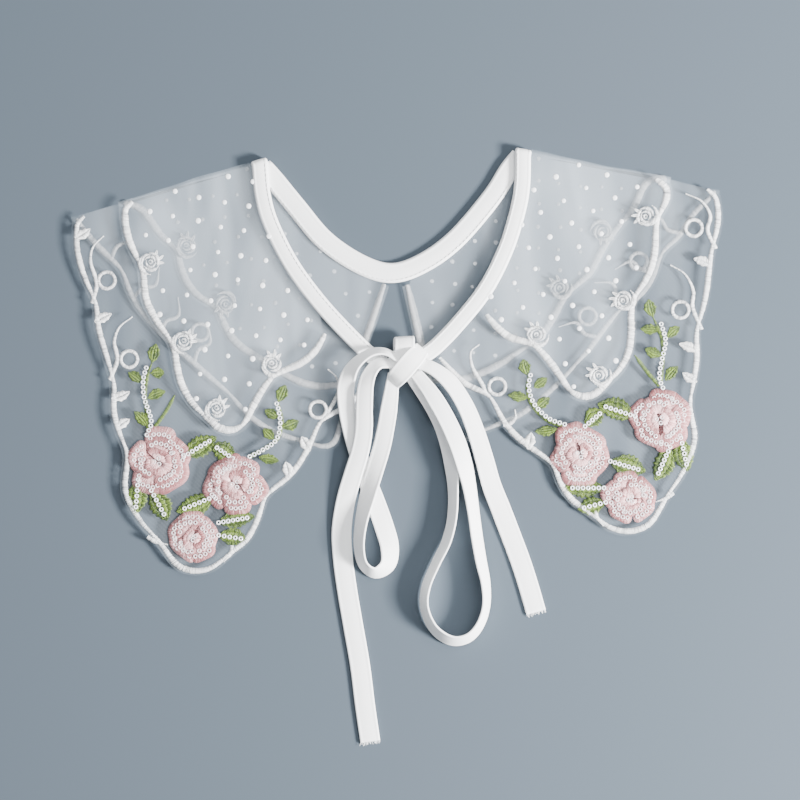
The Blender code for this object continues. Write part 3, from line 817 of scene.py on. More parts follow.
@dataclass(frozen=True)
class Scatter:
    """A Geometry Nodes tree that sets one small form at every guide."""

    form: Form
    steps: int = 3
    sides: int = 3

    def tree(self) -> bpy.types.NodeTree:
        """The tree, made once for each form and its steps and sides.

        Returns:
            The node tree.
        """
        name = f"{self.form.value}_scatter_{self.steps}_{self.sides}"
        known = bpy.data.node_groups.get(name)
        if known:
            return known
        tree = bpy.data.node_groups.new(name, "GeometryNodeTree")
        face = tree.interface
        face.new_socket(name="Guides", in_out="INPUT", socket_type="NodeSocketGeometry")
        for label, value in (("Steps", self.steps), ("Sides", self.sides)):
            socket = face.new_socket(name=label, in_out="INPUT", socket_type="NodeSocketInt")
            socket.default_value = value
        face.new_socket(name="Finish", in_out="INPUT", socket_type="NodeSocketMaterial")
        face.new_socket(name="Geometry", in_out="OUTPUT", socket_type="NodeSocketGeometry")
        self.wire(NodeSheet(tree))
        return tree

    def wire(self, sheet: NodeSheet) -> None:
        """Add and link the nodes of the tree.

        Args:
            sheet: the tree's nodes.
        """
        given = sheet.add("NodeGroupInput").outputs
        shape = self.shape(sheet, given["Steps"], given["Sides"])
        named = {}
        for key in ("run", "lift", "size"):
            node = sheet.add("GeometryNodeInputNamedAttribute", {"data_type": "FLOAT_VECTOR"},
                             Name=key)
            named[key] = node.outputs["Attribute"]
        turn = sheet.add("FunctionNodeAlignRotationToVector", {"axis": "X"}, Vector=named["run"])
        stand = sheet.add("FunctionNodeAlignRotationToVector", {"axis": "Z", "pivot_axis": "X"},
                          Rotation=turn.outputs["Rotation"], Vector=named["lift"])
        laid = sheet.add("GeometryNodeInstanceOnPoints", Points=given["Guides"], Instance=shape,
                         Rotation=stand.outputs["Rotation"], Scale=named["size"])
        real = sheet.add("GeometryNodeRealizeInstances", Geometry=laid.outputs["Instances"])
        soft = sheet.add("GeometryNodeSetShadeSmooth", Geometry=real.outputs["Geometry"])
        dyed = sheet.add("GeometryNodeSetMaterial", Geometry=soft.outputs["Geometry"],
                         Material=given["Finish"])
        sheet.add("NodeGroupOutput", Geometry=dyed.outputs["Geometry"])

    def shape(self, sheet: NodeSheet, steps: bpy.types.NodeSocket,
              sides: bpy.types.NodeSocket) -> bpy.types.NodeSocket:
        """The form at unit size.

        Args:
            sheet: the tree's nodes.
            steps: the input for the steps along the form.
            sides: the input for its sides.

        Returns:
            The form's geometry output.
        """
        if self.form is Form.DOT:
            ball = sheet.add("GeometryNodeMeshIcoSphere", Radius=0.5, Subdivisions=2)
            return ball.outputs["Mesh"]
        if self.form is Form.STITCH:
            return self.thread(sheet, steps, sides)
        profile = sheet.add("GeometryNodeCurvePrimitiveCircle", Resolution=sides, Radius=RING_WIRE)
        path = sheet.add("GeometryNodeCurvePrimitiveCircle", Resolution=steps, Radius=RING_RADIUS)
        swept = sheet.add("GeometryNodeCurveToMesh", Curve=path.outputs["Curve"],
                          Profile_Curve=profile.outputs["Curve"], Fill_Caps=True)
        return swept.outputs["Mesh"]

    def thread(self, sheet: NodeSheet, steps: bpy.types.NodeSocket,
               sides: bpy.types.NodeSocket) -> bpy.types.NodeSocket:
        """An arched thread of length one along X, thinner at its ends.

        Args:
            sheet: the tree's nodes.
            steps: the input for the steps along the form.
            sides: the input for its sides.

        Returns:
            The thread's geometry output.
        """
        rod = sheet.add("GeometryNodeMeshCylinder", Vertices=sides, Side_Segments=steps,
                        Radius=0.5, Depth=1.0)
        lying = sheet.add("GeometryNodeTransform", Geometry=rod.outputs["Mesh"],
                          Rotation=(0.0, math.pi / 2, 0.0))
        place = sheet.add("GeometryNodeInputPosition").outputs["Position"]
        x, y, z = sheet.add("ShaderNodeSeparateXYZ", Vector=place).outputs
        square = sheet.maths("MULTIPLY", x, x)
        arch = sheet.maths("MULTIPLY_ADD", square, -4.0, 1.0)
        slim = sheet.maths("MULTIPLY_ADD", arch, 1 - END_WIDTH, END_WIDTH)
        rise = sheet.maths("MULTIPLY", arch, 0.5)
        bent = sheet.add("ShaderNodeCombineXYZ", X=x, Y=sheet.maths("MULTIPLY", y, slim),
                         Z=sheet.maths("MULTIPLY_ADD", z, slim, rise))
        moved = sheet.add("GeometryNodeSetPosition", Geometry=lying.outputs["Geometry"],
                          Position=bent.outputs["Vector"])
        return moved.outputs["Geometry"]

    def make(self, name: str, guides: Guides, finish: Finish) -> bpy.types.Object:
        """Scatter the form over guides as one plain mesh.

        Args:
            name: the piece's name.
            guides: the places.
            finish: the finish of the piece.

        Returns:
            The finished object.
        """
        item = guides.carrier(name)
        modifier = item.modifiers.new("scatter", "NODES")
        modifier.node_group = self.tree()
        sockets = {s.name: s.identifier for s in modifier.node_group.interface.items_tree
                   if s.in_out == "INPUT"}
        modifier[sockets["Steps"]] = self.steps
        modifier[sockets["Sides"]] = self.sides
        modifier[sockets["Finish"]] = finish.material()
        plain_mesh(item)
        piece(item, finish)
        LOG.info("%s: %d places", name, len(guides.points))
        return item


def piece(item: bpy.types.Object, finish: Finish) -> None:
    """Give a piece its finish, let it ride with the collar and report it.

    Args:
        item: the piece.
        finish: its finish.
    """
    if finish.material().name not in [m.name for m in item.data.materials if m]:
        item.data.materials.clear()
        item.data.materials.append(finish.material())
    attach(item, BODY)
    LOG.info("%s: %s, %d faces", item.name, finish.name, len(item.data.polygons))


# Leaves on the lower fronts, as (base x, base y, tip x, tip y, width)
BIG_LEAVES = {
    Side.LEFT: (
        (-110.5, -5.1, -93.4, 5.2, 8.5), (-83.1, -7.4, -96.1, 1.4, 8.0),
        (-94.8, -25.9, -114.3, -33.8, 9.0), (-134.2, -17.1, -135.6, -35.2, 8.5),
        (-127.3, -22.7, -118.9, -38.5, 9.0), (-92.4, -39.4, -73.4, -36.2, 7.6),
        (-92.4, -45.9, -77.6, -48.2, 7.4),
    ),
    Side.RIGHT: (
        (123.7, 15.7, 104.2, 22.2, 9.0), (97.7, 10.6, 107.5, 19.0, 7.8),
        (110.7, -7.5, 129.3, -13.0, 9.0), (141.8, 0.0, 134.0, -17.7, 8.5),
        (147.4, 4.6, 151.1, -13.0, 8.5), (107.5, -21.4, 86.6, -21.4, 8.2),
        (108.4, -28.8, 94.0, -32.5, 7.4),
    ),
}
SPRAY_LEAVES = {
    Side.LEFT: (
        (-126.8, 43.7, -124.7, 53.4, 5.6), (-127.7, 38.1, -120.3, 38.6, 5.2),
        (-131.9, 33.5, -139.3, 38.6, 4.8), (-129.1, 25.1, -119.8, 28.8, 4.8),
        (-129.1, 10.7, -136.1, 18.2, 5.2), (-61.3, 23.3, -57.6, 32.1, 5.6),
        (-61.3, 14.9, -68.3, 19.1, 4.8), (-59.5, 9.8, -50.6, 13.5, 5.2),
        (-63.6, 3.8, -69.2, 9.3, 4.8), (-71.5, -5.5, -60.9, -7.4, 4.6),
    ),
    Side.RIGHT: (
        (133.0, 67.3, 130.7, 76.6, 5.6), (136.3, 60.8, 126.5, 61.2, 4.8),
        (140.5, 56.6, 147.0, 62.2, 4.6), (137.7, 47.3, 128.8, 51.0, 5.0),
        (139.5, 34.3, 146.0, 41.7, 5.0), (68.0, 37.1, 65.7, 45.5, 5.6),
        (71.3, 30.6, 78.2, 35.7, 4.6), (68.0, 25.5, 57.8, 26.9, 4.8),
        (72.2, 19.5, 79.6, 25.5, 4.8), (83.3, 9.2, 71.7, 7.9, 4.8),
    ),
}
WHITE_LEAVES = {
    Side.LEFT: (
        (-148.1, 24.7, -138.4, 28.6, 4.2), (-145.4, 9.3, -138.4, 14.3, 4.0),
        (-55.8, -16.2, -57.6, -7.8, 4.8), (-167.0, 108.2, -158.9, 113.1, 4.2),
        (-156.8, 64.7, -147.8, 69.0, 4.2), (-45.0, -2.6, -49.4, 5.4, 4.8),
    ),
    Side.RIGHT: (
        (156.2, 49.6, 146.5, 53.4, 4.2), (155.8, 33.4, 148.3, 38.5, 4.0),
        (68.0, -1.4, 69.9, 7.4, 4.8), (163.5, 94.2, 153.9, 97.6, 4.2),
    ),
}
# Lines on the lower fronts, each as the places that it goes through
STEMS = {
    Side.LEFT: (
        ((-129.1, 9.8), (-129.9, 19.1), (-130.5, 28.4), (-129.1, 37.7), (-126.8, 43.7)),
        ((-125.4, 10.3), (-119.8, 18.2), (-115.2, 26.5)),
        ((-76.2, -5.1), (-68.9, -1.0), (-62.0, 4.0), (-59.6, 11.7), (-60.5, 19.1), (-61.5, 23.3)),
    ),
    Side.RIGHT: (
        ((137.2, 34.3), (138.1, 45.5), (137.7, 55.7), (135.3, 62.2), (133.0, 67.3)),
        ((136.3, 31.5), (129.8, 39.0), (123.7, 47.3)),
        ((86.3, 10.8), (77.9, 14.0), (70.5, 21.4), (67.7, 29.8), (68.4, 37.1)),
    ),
}
SEQUIN_CHAINS = {
    Side.LEFT: (
        ((-129.6, 6.1), (-127.3, 13.5), (-131.0, 25.6), (-131.4, 34.9), (-129.9, 40.9)),
        ((-76.2, -5.1), (-69.7, -1.8), (-62.7, 3.3), (-60.4, 11.7), (-61.3, 19.1), (-62.3, 22.3)),
    ),
    Side.RIGHT: (
        ((138.1, 30.6), (136.3, 36.2), (137.7, 45.5), (139.5, 54.7), (137.2, 63.6)),
        ((87.1, 11.6), (78.7, 14.8), (71.3, 22.2), (68.5, 30.6), (69.4, 37.1)),
    ),
}
TENDRILS = {
    Side.LEFT: (
        ((-158.1, 74.7), (-155.7, 83.3), (-156.8, 89.2), (-158.8, 95.9), (-157.7, 103.2),
         (-152.1, 109.2)),
        ((-148.8, 34.8), (-145.1, 44.2), (-145.4, 48.9), (-146.5, 54.8), (-143.8, 62.0),
         (-137.2, 67.3)),
        ((-129.1, -46.8), (-124.5, -49.6), (-119.0, -50.8)),
        ((-85.5, -51.4), (-85.9, -55.2), (-89.6, -59.6)),
        ((-35.8, 17.8), (-32.5, 23.1), (-29.8, 29.7), (-31.1, 35.7), (-35.5, 40.0)),
    ),
    Side.RIGHT: (
        ((165.5, 102.9), (161.4, 112.0), (162.8, 120.1), (158.2, 127.4), (150.2, 131.2)),
        ((158.2, 61.0), (153.6, 72.3), (153.9, 81.0), (149.5, 89.6), (142.2, 94.2)),
        ((143.7, -24.2), (140.0, -26.5), (134.6, -28.6)),
        ((103.4, -33.4), (104.0, -36.7), (107.2, -41.0)),
        ((46.4, 27.0), (44.5, 32.3), (39.5, 41.0), (38.5, 48.9), (42.8, 52.9)),
        ((55.6, 11.4), (59.1, 12.1), (61.7, 15.1), (61.4, 19.1)),
    ),
}
# Middles of rings on the lower fronts, and of rings and roses on the lower backs
RINGS = {
    Side.LEFT: ((-150.4, 86.3), (-138.8, 45.4), (-40.8, 19.2)),
    Side.RIGHT: ((154.2, 113.5), (147.3, 71.0), (52.2, 31.2)),
}
UNDER_RINGS = {Side.LEFT: ((-102.0, 59.4),), Side.RIGHT: ((125.7, 96.2), (99.2, 67.7))}
UNDER_ROSES = {
    Side.LEFT: ((-109.3, 104.5), (-88.8, 74.0)),
    Side.RIGHT: ((107.1, 111.5), (84.6, 82.3)),
}
# Pink roses as (node, x, y, radius, turn in degrees)
PINK_ROSES = {
    Side.LEFT: (
        ("pink_rose_left_1", -124.2, -7.6, 16.8, 20), ("pink_rose_left_2", -83.6, -19.5, 16.4, 200),
        ("pink_rose_left_3", -105.6, -47.0, 14.0, 300),
    ),
    Side.RIGHT: (
        ("pink_rose_right_1", 136.4, 14.0, 17.0, 160), ("pink_rose_right_2", 95.2, -3.8, 16.2, 340),
        ("pink_rose_right_3", 121.4, -27.2, 14.0, 240),
    ),
}
# White roses as (node, x, y, turn in degrees)
WHITE_ROSES = {
    Side.LEFT: (
        ("white_rose_left_1", -127.6, 95.7, 200), ("white_rose_left_2", -110.4, 54.9, 200),
        ("white_rose_left_3", -93.4, 20.0, 215), ("white_rose_left_4", -64.8, 43.2, 250),
    ),
    Side.RIGHT: (
        ("white_rose_right_1", 129.2, 119.4, 350), ("white_rose_right_2", 117.4, 75.7, 345),
        ("white_rose_right_3", 104.8, 36.9, 320), ("white_rose_right_4", 72.4, 58.0, 290),
    ),
}

# A pink rose's rows of petals as (petals, then shares of its radius for their inset, reach
# and half width, their lift, tone, and turn as a share of a petal's angle)
PETAL_ROWS = (
    (5, 0.36, 0.66, 0.54, 0.30, -0.10, 0.0),
    (3, 0.14, 0.62, 0.50, 0.70, -0.04, 0.5),
    (2, 0.03, 0.40, 0.36, 1.10, 0.06, 0.2),
)
OUTER_PETALS = PETAL_ROWS[0][0]
PETAL_REACH = (0.76, 1.18)
PETAL_BREADTH = (0.74, 1.22)
PETAL_TONE = (-0.18, 0.34)
PETAL_SWAY = 0.22
PAD_SHARE = 0.62

# A white rose's crescents as (share of its radius, start and end angle, width, shift), and the
# short strokes beside it as (angle, share of its radius)
CRESCENTS = (
    (0.13, 0, 320, 1.2, 0.02), (0.33, -40, 160, 1.5, 0.02), (0.37, 160, 318, 1.6, 0.02),
    (0.58, 15, 140, 1.9, 0.02), (0.60, 135, 255, 2.0, 0.0), (0.60, 245, 372, 2.0, 0.02),
    (0.82, -50, 70, 2.2, 0.02),
)
STAMENS = ((146, 1.12), (178, 1.20), (210, 1.10))

# The two steps of the front dots' lattice, its shift from the middle of each half, and the
# size of a dot and its height above the cloth
LATTICE = {
    Side.LEFT: ((12.5, -2.6), (-1.8, -12.8)),
    Side.RIGHT: ((11.2, 6.5), (3.9, -11.9)),
}
LATTICE_SHIFT = {Half.FRONT: (0.0, 0.0), Half.BACK: (4.0, 5.0)}
DOT_SIZE = {Half.FRONT: 2.8, Half.BACK: 2.2}
DOT_LIFT = {Half.FRONT: 0.12, Half.BACK: -0.2}

# A curl on a lower back as (distance into the cloth, distance along the edge), and the
# points of the edge that curls start from
BACK_CURL = ((2, 0), (9, 3), (16, 1), (22, 8))
CURL_START = 3
CURL_PITCH = 13

# Borders as (tier, width where two strokes meet, full width, middle tone)
BORDERS = ((Tier.LOWER, 1.6, 3.0, 0.68), (Tier.UPPER, 2.1, 3.8, 0.68))

# Threads and sequins as sewn
THREAD_PITCH = 0.45
THREAD_WIDTH = 0.5
SEQUIN_SIZE = 2.5
SEQUIN_PITCH = 2.62
SEQUIN_HEIGHT = 1.1
SEQUIN_TILT = 0.10


@dataclass
class Ground:
    """The cloth under a piece of embroidery, which sets its height."""

    side: Side
    tier: Tier
    half: Half

    def top(self, xy: np.ndarray) -> np.ndarray:
        """The height of the cloth's upper face at some places."""
        return cloth_height(self.side, self.tier, self.half, xy) + SHELL / 2

    def point(self, xy: Sequence[float], lift: float) -> tuple[float, float, float]:
        """A place at a height above the cloth."""
        return (xy[0], xy[1], float(self.top(vec(xy))[0]) + lift)


@dataclass
class Needle:
    """Lays satin stitches, cords, leaves and petals as guides on one ground."""

    ground: Ground
    stitches: Guides = field(default_factory=Guides)
    seed: int = 7
    tone_spread: float = 0.30
    bundle_tone: float = 0.08
    shake: float = 0.06

    def __post_init__(self) -> None:
        """Start the seeded wobble of the hand."""
        self.rng = np.random.default_rng(self.seed)

    def stitch(self, start: np.ndarray, end: np.ndarray, lift: float, rise: float,
               tone: float, width: float = THREAD_WIDTH) -> None:
        """Lay one thread between two places.

        Args:
            start: where the needle comes up.
            end: where it goes down.
            lift: height of the thread's feet above the cloth.
            rise: how far the thread arches.
            tone: 0 for the finish's shade to 1 for its colour.
            width: the thread's width.
        """
        middle = (start + end) / 2
        run = end - start
        place = self.ground.point(middle, lift)
        bundle = self.bundle_tone * math.sin(1.9 * (start[0] + 0.7 * start[1]) + self.seed)
        tone = float(np.clip(tone + self.rng.normal(0, self.tone_spread) + bundle, 0, 1))
        rise = rise * self.rng.uniform(0.7, 1.15)
        width = width * self.rng.uniform(0.75, 1.05)
        self.stitches.add(place, (run[0], run[1], 0.0),
                          (float(np.linalg.norm(run)), width, rise), tone)

    def satin_line(self, path: np.ndarray, across: np.ndarray, widths: np.ndarray,
                   lift: float = 0.12, rise: float = 0.6, tone: float = 0.75,
                   slant: float = 0.12) -> None:
        """Cover a line with threads laid across it.

        Args:
            path: points a thread apart.
            across: unit vectors across the line.
            widths: the line's width at each point.
            lift: height of the threads' feet.
            rise: how far the threads arch.
            tone: the middle tone of the threads.
            slant: how far each thread leans along the line, as a share of its length.
        """
        along = np.column_stack([across[:, 1], -across[:, 0]])
        wobble = self.rng.normal(0, self.shake, (len(path), 2))
        for place, side, run, width, shake in zip(path, across, along, widths, wobble):
            half = (side + run * slant) * width / 2
            self.stitch(place - half * (1 + shake[0]), place + half * (1 + shake[1]), lift, rise,
                        tone)

    def cord(self, points: Sequence[Sequence[float]], width: float, taper: float = 0.0,
             tone: float = 0.75, rise: float = 0.6) -> None:
        """A satin cord along a smooth curve.

        Args:
            points: places that the cord goes through.
            width: its width.
            taper: the share of its end that runs out to a point.
            tone: the middle tone of the threads.
            rise: how far the threads arch.
        """
        fine = smooth_curve(points, 200)
        path = even(fine, max(int(length_of(fine) / THREAD_PITCH), 4))
        share = np.linspace(0, 1, len(path))
        widths = np.full(len(path), width)
        if taper > 0:
            widths *= np.clip((1 - share) / taper, 0.22, 1) ** 0.7
        self.satin_line(path, normals_across(path, True), widths, rise=rise, tone=tone)

    def ring(self, centre: Sequence[float], radius: float, width: float, count: int) -> None:
        """A closed satin ring.

        Args:
            centre: its middle.
            radius: the radius of its middle line.
            width: its width.
            count: how many threads it has.
        """
        turns = np.linspace(0, math.tau, count)
        away = np.column_stack([np.cos(turns), np.sin(turns)])
        self.satin_line(vec(centre) + away * radius, away, np.full(count, width))

    def leaf(self, base: Sequence[float], tip: Sequence[float], width: float,
             dark: float = 0.2, light: float = 0.85, split: bool = True,
             lift: float = 0.12, belly: float = 0.8) -> None:
        """A satin leaf with a vein, its threads leaning towards the tip.

        Args:
            base: where the leaf leaves its stem.
            tip: its point.
            width: its greatest width.
            dark: tone near the edge, a little lighter on one side of the vein.
            light: tone near the vein.
            split: whether each side has an inner and an outer row of threads.
            lift: height of the threads' feet.
            belly: below 1 for a leaf that is widest near its base.
        """
        start, end = vec(base), vec(tip)
        length = float(np.linalg.norm(end - start))
        run = (end - start) / length
        side = np.array([-run[1], run[0]])
        bend = self.rng.uniform(-0.06, 0.06) * length
        for share in np.arange(0.02, 0.99, THREAD_PITCH / length):
            vein = start + run * share * length + side * bend * math.sin(math.pi * share)
            reach = width / 2 * math.sin(math.pi * share ** belly) ** 0.75
            notch = 1 + 0.08 * math.sin(share * length * 2.1)
            for sign in (-1, 1):
                lean = (side * sign + run * 0.5 * (1 - share)) * reach * notch
                if split:
                    cut = 0.5 + self.rng.uniform(-0.08, 0.08)
                    tilt = 0.22 * sign
                    fleck = float(self.rng.choice((-0.6, -0.1, 0.3)))
                    self.stitch(vein, vein + lean * cut, lift + 0.14, 0.5, light + tilt + fleck)
                    self.stitch(vein + lean * (cut - 0.08), vein + lean, lift, 0.5,
                                dark + tilt + fleck)
                else:
                    self.stitch(vein, vein + lean, lift, 0.55, light)

    def pad(self, centre: np.ndarray, radius: float, tone: float) -> None:
        """Fill a round with level rows of threads, as a ground for petals.

        Args:
            centre: the round's middle.
            radius: its radius.
            tone: the middle tone of the threads.
        """
        for offset in np.arange(-radius, radius, THREAD_PITCH):
            half = math.sqrt(max(radius ** 2 - offset ** 2, 0.01))
            for start, end in ((-half, 0.0), (-0.3, half)):
                self.stitch(centre + vec((start, offset)), centre + vec((end, offset)), 0.08, 0.5,
                            tone)

    def petal(self, root: np.ndarray, heading: float, reach: float, breadth: float,
              lift: float, tone: float) -> np.ndarray:
        """A satin petal: threads that fan out from its root to a rounded, lobed edge.

        Args:
            root: the petal's inner end.
            heading: the direction that it points in, in radians.
            reach: its length.
            breadth: half its width.
            lift: height of the threads' feet.
            tone: the middle tone of the threads.

        Returns:
            A line along the petal, inside its edge, for a chain of sequins.
        """
        forward = np.array([math.cos(heading), math.sin(heading)])
        side = np.array([-forward[1], forward[0]])
        count = max(int(breadth * 4.2 / THREAD_PITCH), 12)
        rim = []
        for k in range(count):
            turn = math.pi * (k / (count - 1) - 0.5) * 1.16
            lobe = 1 + 0.045 * math.cos(4 * turn + 2 * heading)
            outer = root + (forward * (0.42 + 0.58 * math.cos(turn)) * reach
                            + side * math.sin(turn) * breadth) * lobe
            inner = root + (outer - root) * 0.10
            middle = inner + (outer - inner) * (0.52 + self.rng.uniform(-0.09, 0.09))
            self.stitch(inner, middle, lift + 0.10, 0.45, tone + 0.75)
            self.stitch(middle + (inner - middle) * 0.1, outer, lift, 0.6, tone)
            rim.append(root + (outer - root) * 0.66)
        return np.array(rim)


@dataclass
class Sequins:
    """Chains of ring sequins on one ground."""

    ground: Ground
    guides: Guides = field(default_factory=Guides)
    seed: int = 11

    def __post_init__(self) -> None:
        """Start the seeded tilt of the sequins."""
        self.rng = np.random.default_rng(self.seed)

    def chain(self, points: Sequence[Sequence[float]], lift: float) -> None:
        """Sew a chain along a line.

        Args:
            points: the line.
            lift: height above the cloth.
        """
        line = smooth_curve(points, 160)
        count = max(int(round(length_of(line) / SEQUIN_PITCH)) + 1, 2)
        for place in even(line, count):
            self.sew(place, lift)

    def sew(self, place: Sequence[float], lift: float) -> None:
        """Sew one sequin, a little tilted.

        Args:
            place: where it is sewn.
            lift: height above the cloth.
        """
        tilt = self.rng.normal(0, SEQUIN_TILT, 2)
        self.guides.add(self.ground.point(place, lift), (1, 0, -tilt[0]),
                        (SEQUIN_SIZE, SEQUIN_SIZE, SEQUIN_HEIGHT), 0.7, (tilt[0], tilt[1], 1))


@dataclass
class PinkRose:
    """A pink satin rose of overlapping petals with sequins sewn over it."""

    x: float
    y: float
    radius: float
    turn: float

    def sew(self, ground: Ground) -> tuple[Guides, Guides]:
        """Lay the petals and the sequins.

        Args:
            ground: the cloth that the rose lies on.

        Returns:
            The guides of the threads and those of the sequins.
        """
        needle = Needle(ground, seed=int(self.turn) + 3)
        beads = Sequins(ground, seed=int(self.turn) + 5)
        centre = vec((self.x, self.y))
        needle.pad(centre, PAD_SHARE * self.radius, tone=0.3)
        for count, inset, reach, breadth, lift, tone, offset in PETAL_ROWS:
            for k in range(count):
                heading = math.radians(self.turn) + math.tau * (k + offset) / count
                heading += needle.rng.uniform(-PETAL_SWAY, PETAL_SWAY)
                away = np.array([math.cos(heading), math.sin(heading)])
                size = self.radius * needle.rng.uniform(*PETAL_REACH)
                wide = self.radius * needle.rng.uniform(*PETAL_BREADTH)
                root = centre + away * inset * self.radius
                rim = needle.petal(root, heading, reach * size, breadth * wide,
                                   lift + 0.10 * (k % 3), tone + needle.rng.uniform(*PETAL_TONE))
                trim = max(len(rim) // 6, 1)
                if count > 2:
                    beads.chain(rim[trim:-trim], lift + 0.8)
                if count == OUTER_PETALS and k % 2 == 0:
                    beads.chain(root + (rim[2 * trim:-2 * trim] - root) * 0.5, lift + 0.95)
        for k in range(3):
            swirl = math.tau * k / 3 + self.turn
            reach = 0.10 * self.radius
            beads.sew(centre + reach * vec((math.cos(swirl), math.sin(swirl))), lift=1.6)
        return needle.stitches, beads.guides


@dataclass
class WhiteRose:
    """A small white satin rose: a swirl of crescents with three short strokes beside it."""

    x: float
    y: float
    turn: float
    radius: float = 6.4

    def sew(self, ground: Ground) -> Guides:
        """Lay the crescents.

        Args:
            ground: the cloth that the rose lies on.

        Returns:
            The guides of the threads.
        """
        needle = Needle(ground, seed=int(self.turn) + 17)
        centre = vec((self.x, self.y))
        for share, start, end, width, shift in CRESCENTS:
            span = math.radians(end - start) * share * self.radius
            count = max(int(span / THREAD_PITCH), 6)
            turns = np.radians(np.linspace(start, end, count) + self.turn)
            spiral = 1 + 0.22 * np.linspace(0, 1, count)
            ring = np.column_stack([np.cos(turns), np.sin(turns)])
            middle = centre + ring[count // 2] * shift * self.radius
            path = middle + ring * (share * self.radius * spiral)[:, None]
            widths = width * np.clip(np.sin(np.linspace(0.12, math.pi - 0.12, count)), 0.25, 1)
            needle.satin_line(path, ring, widths, lift=0.25 + 0.25 * (1 - share), rise=0.7,
                              tone=0.85)
        for angle, reach in STAMENS:
            heading = math.radians(self.turn + angle)
            away = np.array([math.cos(heading), math.sin(heading)])
            curl = np.array([-away[1], away[0]]) * 1.3
            needle.leaf(centre + away * self.radius * 0.45, centre + away * self.radius * reach + curl,
                        1.8, light=0.9, split=False, lift=0.12)
        return needle.stitches


